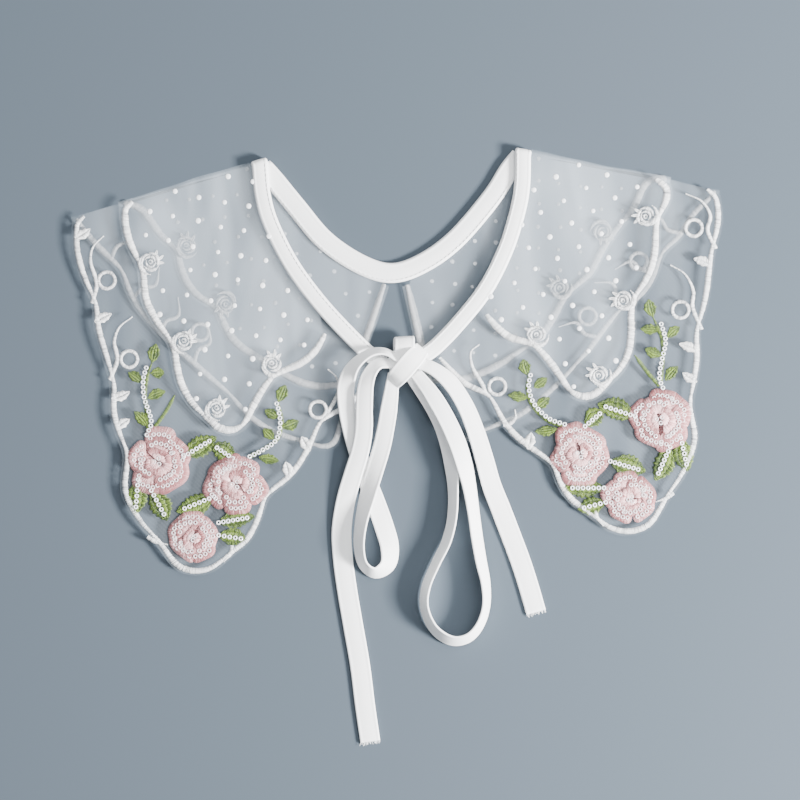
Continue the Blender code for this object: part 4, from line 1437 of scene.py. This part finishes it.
@dataclass
class WingEmbroidery:
    """The sewing on one wing, apart from its roses on the fronts.

    A ring is given as its radius, its width and its number of threads.
    """

    side: Side
    tendril_width: float = 2.1
    front_ring: tuple[float, float, int] = (4.3, 1.8, 58)
    back_ring: tuple[float, float, int] = (4.4, 2.0, 60)
    stem_width: float = 2.2
    big_fullness: float = 1.28
    spray_fullness: float = 1.15
    white_fullness: float = 1.2
    rose_clearance: float = 7.5
    dot_margin: float = 5.5
    dot_jitter: float = 0.4

    def ground(self, tier: Tier, half: Half) -> Ground:
        """The cloth of a tier's half."""
        return Ground(self.side, tier, half)

    def border(self, tier: Tier, half: Half, thin: float, full: float, tone: float) -> Guides:
        """The satin border along a cut edge, a stroke for each scallop.

        Args:
            tier: the tier.
            half: the front or the back half.
            thin: the border's width where two strokes meet.
            full: its width within a stroke.
            tone: the middle tone of its threads.

        Returns:
            The guides of its threads.
        """
        needle = Needle(self.ground(tier, half), seed=23 + self.side.value)
        wing = Wing(self.side, tier)
        path, across = wing.border_line(half, LIP + full / 2, THREAD_PITCH)
        joints = wing.joints(half)
        places = np.linspace(0, 1, len(path))
        scallop = np.clip(np.searchsorted(joints, places, side="right") - 1, 0, len(joints) - 2)
        share = (places - joints[scallop]) / (joints[scallop + 1] - joints[scallop])
        swell = np.sin(np.pi * np.clip(share, 0, 1)) ** 0.7
        needle.satin_line(path, across, thin + (full - thin) * swell, rise=0.6, tone=tone)
        return needle.stitches

    def vines(self) -> Guides:
        """The white tendrils, rings and leaves on the lower front.

        Returns:
            The guides of their threads.
        """
        needle = Needle(self.ground(Tier.LOWER, Half.FRONT), seed=31)
        for row in TENDRILS[self.side]:
            needle.cord(row, self.tendril_width, taper=0.6)
        for centre in RINGS[self.side]:
            needle.ring(centre, *self.front_ring)
        for bx, by, tx, ty, width in WHITE_LEAVES[self.side]:
            needle.leaf((bx, by), (tx, ty), width * self.white_fullness, light=0.8,
                        split=False)
        return needle.stitches

    def greenery(self) -> Guides:
        """The green leaves and stems on the lower front.

        Returns:
            The guides of their threads.
        """
        needle = Needle(self.ground(Tier.LOWER, Half.FRONT), seed=37)
        for row in STEMS[self.side]:
            needle.cord(row, self.stem_width, taper=0.2, tone=0.4)
        for bx, by, tx, ty, width in BIG_LEAVES[self.side]:
            needle.leaf((bx, by), (tx, ty), width * self.big_fullness)
        for bx, by, tx, ty, width in SPRAY_LEAVES[self.side]:
            needle.leaf((bx, by), (tx, ty), width * self.spray_fullness, dark=0.42,
                        light=0.95)
        return needle.stitches

    def chains(self) -> Guides:
        """The sequin chains along the sprays and the big leaves.

        Returns:
            The guides of the sequins.
        """
        beads = Sequins(self.ground(Tier.LOWER, Half.FRONT))
        for row in SEQUIN_CHAINS[self.side]:
            beads.chain(row, lift=0.85)
        for bx, by, tx, ty, _ in BIG_LEAVES[self.side]:
            base, tip = vec((bx, by)), vec((tx, ty))
            beads.chain([base, base + (tip - base) * 0.4, base + (tip - base) * 0.78],
                        lift=0.95)
        return beads.guides

    def back_vines(self) -> Guides:
        """Rings, curls and small roses that show faintly through the folded cloth.

        Returns:
            The guides of their threads.
        """
        needle = Needle(self.ground(Tier.LOWER, Half.BACK), seed=41)
        edge = Wing(self.side, Tier.LOWER).edge(Half.BACK)
        normals = Wing(self.side, Tier.LOWER).normals(Half.BACK)
        for row in range(1, len(SCALLOPS[(self.side, Tier.LOWER, Half.BACK)]) - 1):
            k = row * CURL_PITCH + CURL_START
            base, inward = edge[k], normals[k]
            along = np.array([-inward[1], inward[0]])
            needle.cord([base + inward * depth + along * shift for depth, shift in BACK_CURL],
                        self.tendril_width, taper=0.5)
        for centre in UNDER_RINGS[self.side]:
            needle.ring(centre, *self.back_ring)
        for x, y in UNDER_ROSES[self.side]:
            rose = WhiteRose(x, y, 30.0 * y).sew(self.ground(Tier.LOWER, Half.BACK))
            needle.stitches.extend(rose)
        return needle.stitches

    def dots(self, half: Half) -> Guides:
        """The woven dots of an upper half, on their slanted lattice.

        Args:
            half: the front or the back half.

        Returns:
            The guides of the dots.
        """
        first, second = LATTICE[self.side]
        ground = self.ground(Tier.UPPER, half)
        wing = Wing(self.side, Tier.UPPER)
        outline = np.vstack([wing.edge(half) + wing.normals(half) * self.dot_margin,
                             wing.seam(half)[::-1]])
        # The back half shows its lattice at another slant
        if half is Half.BACK:
            first, second = (first[0] * 0.98, first[1] + 4.0), (second[0] - 4.0, second[1] * 0.97)
        guides = Guides()
        rng = np.random.default_rng(43 + self.side.value)
        centre = outline.mean(axis=0) + vec(LATTICE_SHIFT[half])
        roses = [vec(row[1:3]) for row in WHITE_ROSES[self.side]]
        for i in range(-14, 15):
            for j in range(-14, 15):
                place = centre + vec(first) * i + vec(second) * j
                place = place + rng.normal(0, self.dot_jitter, 2)
                near = min(np.linalg.norm(place - rose) for rose in roses)
                if inside(place, outline) and (near > self.rose_clearance or half is Half.BACK):
                    size = DOT_SIZE[half] * rng.uniform(0.85, 1.1)
                    guides.add(ground.point(place, DOT_LIFT[half]), (1, 0, 0),
                               (size, size, 0.6))
        return guides


def inside(place: np.ndarray, outline: np.ndarray) -> bool:
    """Whether a place lies within a closed flat outline.

    Args:
        place: the place.
        outline: the outline's points.

    Returns:
        True where it does.
    """
    x, y = place
    a, b = outline, np.roll(outline, -1, axis=0)
    crosses = (a[:, 1] > y) != (b[:, 1] > y)
    rise = np.where(crosses, b[:, 1] - a[:, 1], 1.0)
    at = a[:, 0] + (y - a[:, 1]) / rise * (b[:, 0] - a[:, 0])
    return bool(np.count_nonzero(crosses & (at > x)) % 2)


@dataclass
class ClothTier:
    """One organza tier of one wing: front, shoulder bend and back as one thin shell."""

    wing: Wing
    rows: int = 14
    bend_steps: int = 8

    def build(self) -> bpy.types.Object:
        """Make the shell, dress it, and let it stand for its solid.

        Returns:
            The finished cloth.
        """
        side, tier = self.wing.side, self.wing.tier
        grid = []
        front = self.wing.columns(Half.FRONT, self.rows)
        for column in front[:-1]:
            heights = cloth_height(side, tier, Half.FRONT, column)
            grid.append(np.column_stack([column, heights]))
        neck, away, outward = fold_frame(side)
        radius = FOLD_HEIGHT - WALL_FOOT[(tier, Half.BACK)] - WALL / 2
        along = (front[-1] - neck) @ away
        sway = 0.5 + 0.35 * np.sin(along * 0.10 + side.value) + 0.15 * np.sin(along * 0.27)
        for turn in np.linspace(math.pi / 2, -math.pi / 2, self.bend_steps + 1):
            shift = outward * (radius + sway)[:, None] * math.cos(turn)
            height = FOLD_HEIGHT + radius * math.sin(turn)
            grid.append(np.column_stack([front[-1] + shift, np.full(len(front[-1]), height)]))
        for column in self.wing.columns(Half.BACK, self.rows)[1:]:
            heights = cloth_height(side, tier, Half.BACK, column)
            grid.append(np.column_stack([column, heights]))
        item = grid_mesh(f"organza_{tier.value}_{side.word}", np.array(grid))
        wall = item.modifiers.new("thickness", "SOLIDIFY")
        wall.thickness = SHELL * MM
        wall.offset = 0.0
        plain_mesh(item)
        finish = DOTTED if tier is Tier.UPPER else PLAIN
        piece(item, finish)
        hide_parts(f"{tier.value}_tier_{side.word}")
        # Sheer cloth lets the light through to what lies under it
        item.visible_shadow = False
        item.visible_diffuse = False
        return item


# The tape's face from one edge to the other as (share of the half width inside its soft
# edge, relief)
FOLDED_EDGE = ((0.90, 0.02), (0.78, -0.08), (0.66, 0.0), (0.0, 0.06), (-0.66, 0.0), (-0.78, -0.08),
               (-0.90, 0.02))


@dataclass
class Ribbon:
    """A flat tape as a closed tube through sections."""

    name: str
    thickness: float = TAPE_THICKNESS

    def outline(self, width: float, thickness: float) -> np.ndarray:
        """The section, flat with soft edges.

        Args:
            width: the section's width.
            thickness: its thickness.

        Returns:
            Its points, as (across, up).
        """
        half_w, half_t = width / 2, thickness / 2
        edge = min(half_t, half_w)
        out = []
        for cx, start in ((half_w - edge, -90), (edge - half_w, 90)):
            for k in range(5):
                turn = math.radians(start + 45 * k)
                out.append((cx + edge * math.cos(turn), half_t * math.sin(turn)))
            side = 1 if start < 0 else -1
            for share, relief in FOLDED_EDGE:
                out.append((side * (half_w - edge) * share, side * (half_t + relief)))
        return vec(out)

    def sweep(self, places: np.ndarray, across: np.ndarray, ups: np.ndarray,
              widths: np.ndarray, thickness: float | None = None) -> bpy.types.Object:
        """Sweep the section.

        Args:
            places: the middle of each section.
            across: unit vectors along each section's width.
            ups: unit vectors through its thickness.
            widths: each section's width.
            thickness: the tape's thickness, if not the usual one.

        Returns:
            The tape's object.
        """
        rings = []
        for place, side, up, width in zip(places, across, ups, widths):
            section = self.outline(width, thickness or self.thickness)
            rings.append(place + section[:, :1] * side + section[:, 1:] * up)
        item = grid_mesh(self.name, np.array(rings), closed=True)
        piece(item, TAPE)
        return item


# Strands of the bow, which is one tape in the real collar, each as rows of (x, y, height of
# the middle, roll in degrees about the path)
STRANDS = {
    "bow_tail_left": (
        (0.0, 42.6, 8.2, 36), (-8.5, 43.2, 8.9, 36), (-13.4, 38.6, 9.6, 28),
        (-16.0, 31.0, 10.6, 12), (-16.7, 20.0, 9.6, 8), (-16.9, 9.0, 7.6, 6),
        (-18.8, -2.1, 5.6, 4), (-22.6, -14.5, 3.8, 2), (-26.4, -28.1, 2.0, 0),
        (-28.6, -43.7, 0.9, 0), (-27.8, -59.3, 0.6, 0), (-25.7, -74.9, 0.6, 0),
        (-22.6, -93.1, 0.6, 0), (-19.0, -113.9, 0.6, 0), (-16.4, -134.7, 0.6, 0),
        (-13.7, -153.2, 0.6, 0),
    ),
    "bow_loop_left": (
        (2.0, 44.4, 9.0, 60), (-5.8, 49.2, 9.2, 60), (-14.4, 48.2, 9.4, 56),
        (-22.6, 41.2, 8.6, 40), (-26.2, 31.5, 6.8, 2), (-25.8, 21.0, 5.6, -4),
        (-23.6, 9.5, 4.2, -2), (-20.4, -2.1, 2.6, 0), (-16.2, -15.1, 0.9, 0),
        (-11.2, -28.1, 0.7, 0), (-6.6, -41.1, 1.6, -10), (-3.6, -52.0, 2.9, -24),
        (-4.6, -61.2, 4.1, -40), (-11.2, -65.4, 4.9, -56), (-17.4, -61.0, 5.2, -62),
        (-19.4, -51.0, 5.2, -60), (-18.2, -38.5, 5.0, -52), (-15.0, -25.5, 4.6, -34),
        (-11.3, -12.5, 4.2, -18), (-7.5, 0.5, 4.2, -8), (-4.9, 13.5, 4.4, -4),
        (-3.2, 25.0, 4.8, 0), (-1.4, 38.0, 5.4, 0),
    ),
    "bow_loop_right": (
        (5.6, 39.0, 5.4, 6), (12.0, 30.6, 5.0, 8), (19.0, 20.6, 4.8, 10),
        (24.6, 8.8, 4.7, 14), (28.0, -4.7, 4.6, 30), (29.3, -20.3, 5.0, 58),
        (28.9, -35.9, 5.2, 64), (25.9, -48.9, 5.2, 66), (20.2, -60.8, 5.3, 68),
        (15.4, -72.3, 5.3, 68), (14.4, -82.7, 5.3, 68), (18.0, -92.6, 5.2, 64),
        (24.1, -98.6, 5.1, 60), (30.9, -100.8, 5.1, 60), (38.1, -98.6, 5.1, 62),
        (43.5, -92.0, 5.2, 66), (46.5, -82.2, 5.3, 68), (46.2, -70.7, 5.2, 64),
        (43.8, -59.3, 5.1, 58), (41.6, -46.3, 5.0, 56), (39.8, -33.3, 5.6, 54),
        (37.6, -20.0, 6.8, 44), (34.8, -8.4, 8.6, 26), (31.0, 3.1, 9.9, 12),
        (25.2, 15.6, 10.3, 6), (18.0, 27.6, 9.8, 0), (9.6, 38.6, 8.2, -6),
    ),
    "bow_tail_right": (
        (8.6, 43.8, 8.6, -20), (18.4, 40.8, 9.4, -20), (28.0, 33.0, 9.4, -18),
        (35.8, 20.8, 8.6, -16), (41.2, 7.4, 7.4, -12), (45.4, -6.0, 5.6, -8),
        (49.2, -19.6, 3.2, -4), (54.1, -32.2, 1.4, 0), (59.5, -46.3, 0.6, 0),
        (64.7, -60.3, 0.6, 0), (69.0, -73.8, 0.6, 0), (72.5, -86.0, 0.6, 0),
    ),
}
# Middle line of the ear, then the knot's middle, size and turn, and its band's middle line
EAR = (
    (4.0, 47.0, 8.0), (4.2, 52.0, 8.7), (4.2, 55.6, 7.6), (3.8, 56.6, 5.6), (3.4, 54.6, 3.9),
    (3.4, 50.4, 3.5),
)
KNOT_CENTRE = (3.6, 44.4, 6.7)
KNOT_SIZE = (17.0, 17.5, 7.6)
KNOT_TURN = math.radians(38)
KNOT_BAND = (
    (13.2, 50.8, 4.6), (11.6, 49.0, 8.2), (8.6, 45.6, 11.2), (4.8, 41.2, 12.0),
    (0.8, 36.6, 10.6), (-1.2, 34.2, 7.4), (-2.0, 33.4, 4.4),
)

# How wide the tape opens away from the knot: shares of its width, and distances
GATHERED_SHARE = 0.6
HALF_OPEN_SHARE = 0.84
FAR_REACH = 70.0
GATHERED_TO = 8.0
FLAT_FROM = 26.0


@dataclass
class Bow:
    """The knot, the ear, the two loops and the two tails of the neck tape."""

    step: float = 1.4
    band_half: float = 0.26
    band_rise: float = 0.7
    crease_rise: float = 0.18
    squash: float = 0.86
    fray_count: int = 30
    fray_length: tuple[float, float] = (0.8, 2.6)

    def spread(self, xy: np.ndarray) -> np.ndarray:
        """The share of its width that the tape has at some places, as the knot gathers it.

        Args:
            xy: the places, one row each.

        Returns:
            A share for each place.
        """
        away = np.linalg.norm(xy - vec(KNOT_CENTRE[:2]), axis=1)
        near = np.clip((away - GATHERED_TO) / (FLAT_FROM - GATHERED_TO), 0, 1)
        far = np.clip((away - FLAT_FROM) / FAR_REACH, 0, 1)
        return GATHERED_SHARE + (HALF_OPEN_SHARE - GATHERED_SHARE) * near + (
            1 - HALF_OPEN_SHARE) * far

    def strand(self, name: str) -> bpy.types.Object:
        """A loop or tail along its row of places.

        Args:
            name: the strand's node.

        Returns:
            The finished strand.
        """
        rows = vec(STRANDS[name])
        path = smooth_curve(rows, int(length_of(rows[:, :2]) / self.step))
        run = unit(np.gradient(path[:, :3], axis=0))
        flat = unit(np.column_stack([-run[:, 1], run[:, 0], np.zeros(len(run))]))
        up = np.cross(run, flat)
        turn = np.radians(path[:, 3:4])
        across = flat * np.cos(turn) + up * np.sin(turn)
        above = up * np.cos(turn) - flat * np.sin(turn)
        item = Ribbon(f"tape_{name}").sweep(path[:, :3], across, above,
                                            TAPE_WIDTH * self.spread(path[:, :2]))
        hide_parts(name)
        return item

    def ear(self) -> bpy.types.Object:
        """The short end that the knot turns back on itself.

        Returns:
            The finished ear.
        """
        path = smooth_curve(EAR, 26)
        run = unit(np.gradient(path, axis=0))
        across = np.tile(unit(vec((1.0, 0.06, 0.0))), (len(path), 1))
        above = unit(np.cross(run, across))
        item = Ribbon("tape_bow_ear").sweep(path, across, above, np.full(len(path), TAPE_WIDTH))
        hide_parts("bow_ear")
        return item

    def knot(self) -> bpy.types.Object:
        """The knot: a squashed round of gathered tape, raised where its band crosses it.

        Returns:
            The finished knot.
        """
        mesh = bmesh.new()
        bmesh.ops.create_uvsphere(mesh, u_segments=64, v_segments=40, radius=0.5)
        # A round's faces come in another order on each run, so they are put in one order
        mesh.verts.index_update()
        count = len(mesh.verts)
        mesh.faces.sort(key=lambda face: sum(vert.index * count ** k
                                             for k, vert in enumerate(face.verts)))
        cosine, sine = math.cos(KNOT_TURN), math.sin(KNOT_TURN)
        for vert in mesh.verts:
            x, y, z = vert.co
            edge = abs(y) / self.band_half
            band = self.band_rise * max(0.0, 1 - edge ** 6) * max(0.0, min(z * 8, 1.0))
            crease = self.crease_rise * math.sin(9 * x + 3 * y) * max(z, 0)
            level = math.copysign(abs(2 * z) ** 0.8 / 2, z)
            place = Vector((x * KNOT_SIZE[0], y * KNOT_SIZE[1] * self.squash,
                            level * KNOT_SIZE[2] + band + crease))
            vert.co = (Vector((place.x * cosine - place.y * sine,
                               place.x * sine + place.y * cosine, place.z))
                       + Vector(KNOT_CENTRE)) * MM
        item = linked("tape_bow_knot", mesh)
        piece(item, TAPE)
        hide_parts("bow_knot")
        return item

    def band(self) -> bpy.types.Object:
        """The turn of tape drawn over the knot, from upper right to lower left.

        Returns:
            The finished band.
        """
        path = smooth_curve(KNOT_BAND, 34)
        run = unit(np.gradient(path, axis=0))
        flat = unit(np.column_stack([-run[:, 1], run[:, 0], np.zeros(len(run))]))
        share = np.linspace(-1, 1, len(path))
        widths = TAPE_WIDTH * (1.02 - 0.22 * np.abs(share) ** 3)
        item = Ribbon("tape_knot_band").sweep(path, flat, np.cross(run, flat), widths)
        return item

    def frays(self) -> Guides:
        """Loose threads at the cut ends of the two tails.

        Returns:
            The guides of the threads.
        """
        rng = np.random.default_rng(5)
        guides = Guides()
        for name in ("bow_tail_left", "bow_tail_right"):
            rows = vec(STRANDS[name])[:, :2]
            run = unit(rows[-1] - rows[-2])
            side = np.array([-run[1], run[0]])
            for offset in np.linspace(-0.48, 0.48, self.fray_count):
                length = rng.uniform(*self.fray_length)
                lean = run + side * rng.normal(0, 0.35)
                place = rows[-1] + side * offset * TAPE_WIDTH + lean * length * 0.3
                guides.add((place[0], place[1], rng.uniform(0.25, 0.9)), (lean[0], lean[1], 0),
                           (length, 0.24, 0.2), 0.7)
        return guides


@dataclass
class NeckTape:
    """The tape sewn round the neck, with its line of edge stitches."""

    count: int = 90
    stitch_inset: float = 1.3
    stitch_pitch: float = 2.5

    def build(self) -> bpy.types.Object:
        """Make the tape up one front, over the shoulders, round the back and down.

        Returns:
            The finished tape.
        """
        z_front = 2 * FOLD_HEIGHT - (2 * LAYER - GAP) / 2
        z_back = (2 * LAYER - GAP) / 2
        parts = []
        fronts = {s: smooth_curve(FRONT_BINDING[s], self.count)[:-1] for s in Side}
        back = smooth_curve(BACK_BINDING, self.count)[1:-1]
        parts.append(self.level(fronts[Side.LEFT], z_front, 1, FRONT_BINDING_WIDTH))
        parts.append(self.turn(Side.LEFT))
        parts.append(self.level(back, z_back, -1, BACK_BINDING_WIDTH))
        parts.append([part[::-1] for part in self.turn(Side.RIGHT)])
        parts.append(self.level(fronts[Side.RIGHT][::-1], z_front, 1, FRONT_BINDING_WIDTH))
        places, across, above, widths = (np.concatenate(rows) for rows in zip(*parts))
        item = Ribbon("tape_neck").sweep(places, across, above, widths, 2 * LAYER - GAP)
        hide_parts("neck_binding")
        return item

    def level(self, line: np.ndarray, height: float, up: int, width: float) -> list:
        """Sections along a level stretch.

        Args:
            line: the stretch's middle line.
            height: the height of its middle.
            up: 1 where the tape's face looks up, -1 where it looks down.
            width: the tape's width.

        Returns:
            Their middles, vectors across, vectors through the thickness, and widths.
        """
        side = normals_across(line, True) * up
        places = np.column_stack([line, np.full(len(line), height)])
        across = np.column_stack([side, np.zeros(len(line))])
        above = np.tile((0.0, 0.0, float(up)), (len(line), 1))
        return [places, across, above, np.full(len(line), width)]

    def turn(self, side: Side) -> list:
        """Sections round a shoulder fold, from the front down to the back.

        Args:
            side: the wing.

        Returns:
            The same four rows as for a level stretch.
        """
        _, away, outward = fold_frame(side)
        centre = vec(FRONT_BINDING[side][-1])
        radius = FOLD_HEIGHT - (2 * LAYER - GAP) / 2
        turns = np.linspace(math.pi / 2, -math.pi / 2, 9)
        flat = outward[None, :] * np.cos(turns)[:, None]
        places = np.column_stack([centre + flat * radius, FOLD_HEIGHT + radius * np.sin(turns)])
        above = np.column_stack([flat, np.sin(turns)])
        across = np.tile((away[0], away[1], 0.0), (len(turns), 1))
        return [places, across, above, np.full(len(turns), FRONT_BINDING_WIDTH * 1.04)]

    def stitches(self) -> Guides:
        """The edge stitches along both fronts and the back.

        Returns:
            The guides of the stitches.
        """
        guides = Guides()
        top = 2 * FOLD_HEIGHT
        for side in Side:
            left = side is Side.RIGHT
            line = smooth_curve(FRONT_BINDING[side], 400)
            self.row(guides, line, normals_across(line, left),
                     FRONT_BINDING_WIDTH / 2 - self.stitch_inset, top)
        line = smooth_curve(BACK_BINDING, 500)
        self.row(guides, line, normals_across(line, False),
                 BACK_BINDING_WIDTH / 2 - self.stitch_inset, 2 * LAYER - GAP)
        return guides

    def row(self, guides: Guides, line: np.ndarray, across: np.ndarray, offset: float,
            height: float) -> None:
        """Lay one row of edge stitches.

        Args:
            guides: the list that takes them.
            line: the tape's middle line.
            across: unit vectors across it, towards the row.
            offset: the row's distance from the middle line.
            height: the tape's upper face.
        """
        path = line + across * offset
        path = even(path, int(length_of(path) / self.stitch_pitch))
        for start, end in zip(path, path[1:]):
            run = end - start
            middle = (start + end) / 2
            guides.add((middle[0], middle[1], height + 0.06), (run[0], run[1], 0),
                       (float(np.linalg.norm(run)) * 0.8, 0.34, 0.24), 0.5)


@dataclass
class Studio:
    """The plain floor, the soft lights and the camera straight above."""

    view_centre: tuple[float, float] = (1.8, 24.2)
    view_width: float = 416.0
    lens: float = 135.0
    sensor: float = 36.0
    floor_colour: tuple[float, float, float, float] = (0.055, 0.074, 0.095, 1.0)
    sky_colour: tuple[float, float, float, float] = (0.9, 0.95, 1.0, 1.0)
    sky_strength: float = 0.6

    def floor(self) -> None:
        """A plain blue-grey floor."""
        bpy.ops.mesh.primitive_plane_add(size=6.0, location=(0, 0, -0.0004))
        plane = bpy.context.object
        plane.name = "floor"
        made = bpy.data.materials.new("floor_board")
        made.use_nodes = True
        shader = made.node_tree.nodes["Principled BSDF"]
        shader.inputs["Base Color"].default_value = self.floor_colour
        shader.inputs["Roughness"].default_value = 0.85
        plane.data.materials.append(made)

    def camera(self) -> None:
        """The camera, looking straight down."""
        x, y = (v * MM for v in self.view_centre)
        height = self.view_width * MM * self.lens / self.sensor
        data = bpy.data.cameras.new("camera")
        data.lens = self.lens
        data.sensor_width = self.sensor
        data.clip_end = 20.0
        camera = bpy.data.objects.new("camera", data)
        camera.location = (x, y, height)
        bpy.context.scene.collection.objects.link(camera)
        bpy.context.scene.camera = camera

    def light(self, name: str, place: tuple[float, float, float], size: float,
              power: float) -> None:
        """A soft square light aimed at the collar.

        Args:
            name: the light's name.
            place: where it stands, in metres.
            size: the length of its sides.
            power: its power in watts.
        """
        data = bpy.data.lights.new(name, "AREA")
        data.size = size
        data.energy = power
        lamp = bpy.data.objects.new(name, data)
        lamp.location = place
        lamp.rotation_euler = (-Vector(place)).to_track_quat("-Z", "Y").to_euler()
        bpy.context.scene.collection.objects.link(lamp)

    def build(self) -> None:
        """Set up the whole stage."""
        self.floor()
        self.camera()
        self.light("window", place=(1.15, -0.34, 0.64), size=0.28, power=120.0)
        self.light("ceiling", place=(0.9, 0.9, 1.9), size=1.5, power=60.0)
        world = bpy.data.worlds.new("studio")
        world.use_nodes = True
        sky = world.node_tree.nodes["Background"]
        sky.inputs["Color"].default_value = self.sky_colour
        sky.inputs["Strength"].default_value = self.sky_strength
        bpy.context.scene.world = world


@dataclass
class Collar:
    """The whole collar, built wing by wing."""

    stitch: Scatter = Scatter(Form.STITCH, steps=3, sides=4)
    fine_stitch: Scatter = Scatter(Form.STITCH, steps=3, sides=3)
    ring: Scatter = Scatter(Form.RING, steps=13, sides=4)
    dot: Scatter = Scatter(Form.DOT)

    def cloth(self, side: Side) -> None:
        """The two organza tiers of a wing.

        Args:
            side: the wing.
        """
        for tier in Tier:
            wing = Wing(side, tier)
            item = ClothTier(wing).build()
            area = self.flat_area(wing)
            self.flat_box(wing)
            LOG.info("%s: %.4f square metres", item.name, area)

    def flat_box(self, wing: Wing) -> tuple[float, float]:
        """The size of a tier opened out at its fold.

        Args:
            wing: the tier's outline.

        Returns:
            The width and the length, in metres.
        """
        neck, away, outward = fold_frame(wing.side)
        edges = {half: wing.edge(half) - neck for half in Half}
        seams = {half: wing.seam(half) - neck for half in Half}
        along = np.concatenate([line @ away for line in (*edges.values(), *seams.values())])
        depth = sum(float((-edges[half] @ outward).max()) for half in Half)
        return float(np.ptp(along)) * MM, (depth + math.pi * FOLD_HEIGHT) * MM

    def flat_area(self, wing: Wing) -> float:
        """The flat area of a tier, front and back.

        Args:
            wing: the tier's outline.

        Returns:
            The area in square metres.
        """
        total = 0.0
        for half in Half:
            outline = np.vstack([wing.edge(half), wing.seam(half)[::-1]])
            x, y = outline.T
            total += abs(np.dot(x, np.roll(y, -1)) - np.dot(y, np.roll(x, -1))) / 2
        return float(total) * MM * MM

    def sewing(self, side: Side) -> None:
        """The borders, vines, leaves, dots and chains of a wing.

        Args:
            side: the wing.
        """
        work = WingEmbroidery(side)
        word = side.word
        for tier, thin, full, tone in BORDERS:
            for half in Half:
                scatter = self.stitch if half is Half.FRONT else self.fine_stitch
                name = f"border_{tier.value}_{half.value}_{word}"
                guides = work.border(tier, half, thin, full, tone)
                # Back halves take the white thread greyed as painted shade of the cloth above them
                scatter.make(name, guides, WHITE_THREAD if half is Half.FRONT else SHADED_UNDER_THREAD)
        self.stitch.make(f"vines_{word}", work.vines(), WHITE_THREAD)
        self.fine_stitch.make(f"back_vines_{word}", work.back_vines(), SHADED_UNDER_THREAD)
        self.stitch.make(f"leaves_{word}", work.greenery(), GREEN_THREAD)
        self.ring.make(f"sequin_chains_{word}", work.chains(), SEQUIN)
        for half, finish in ((Half.FRONT, DOT_THREAD), (Half.BACK, SHADED_UNDER_DOT)):
            dots = self.dot.make(f"dots_{half.value}_{word}", work.dots(half), finish)
            # Dots cast no shadow, because the cloth that carries them casts none
            dots.visible_shadow = False

    def roses(self, side: Side) -> None:
        """The pink and the white roses of a wing.

        Args:
            side: the wing.
        """
        ground = Ground(side, Tier.LOWER, Half.FRONT)
        for row in PINK_ROSES[side]:
            threads, beads = PinkRose(*row[1:]).sew(ground)
            item = self.stitch.make(f"thread_{row[0]}", threads, PINK_THREAD)
            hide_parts(row[0])
            self.ring.make(f"sequins_{row[0]}", beads, ROSE_SEQUIN)
        ground = Ground(side, Tier.UPPER, Half.FRONT)
        for name, x, y, turn in WHITE_ROSES[side]:
            item = self.stitch.make(f"thread_{name}", WhiteRose(x, y, turn).sew(ground),
                                    WHITE_THREAD)
            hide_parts(name)

    def tape(self) -> None:
        """The neck tape and the bow."""
        neck = NeckTape()
        neck.build()
        self.fine_stitch.make("edge_stitches", neck.stitches(), TAPE)
        bow = Bow()
        for name in STRANDS:
            bow.strand(name)
        bow.ear()
        bow.knot()
        bow.band()
        self.fine_stitch.make("tape_frays", bow.frays(), TAPE)


def main() -> None:
    """Build the stage, then the collar wing by wing, then its tape and bow."""
    logging.basicConfig(level=logging.INFO, format="%(name)s: %(message)s")
    Studio().build()
    collar = Collar()
    for side in Side:
        collar.cloth(side)
        collar.sewing(side)
        collar.roses(side)
    collar.tape()


if __name__ == "__main__":
    main()
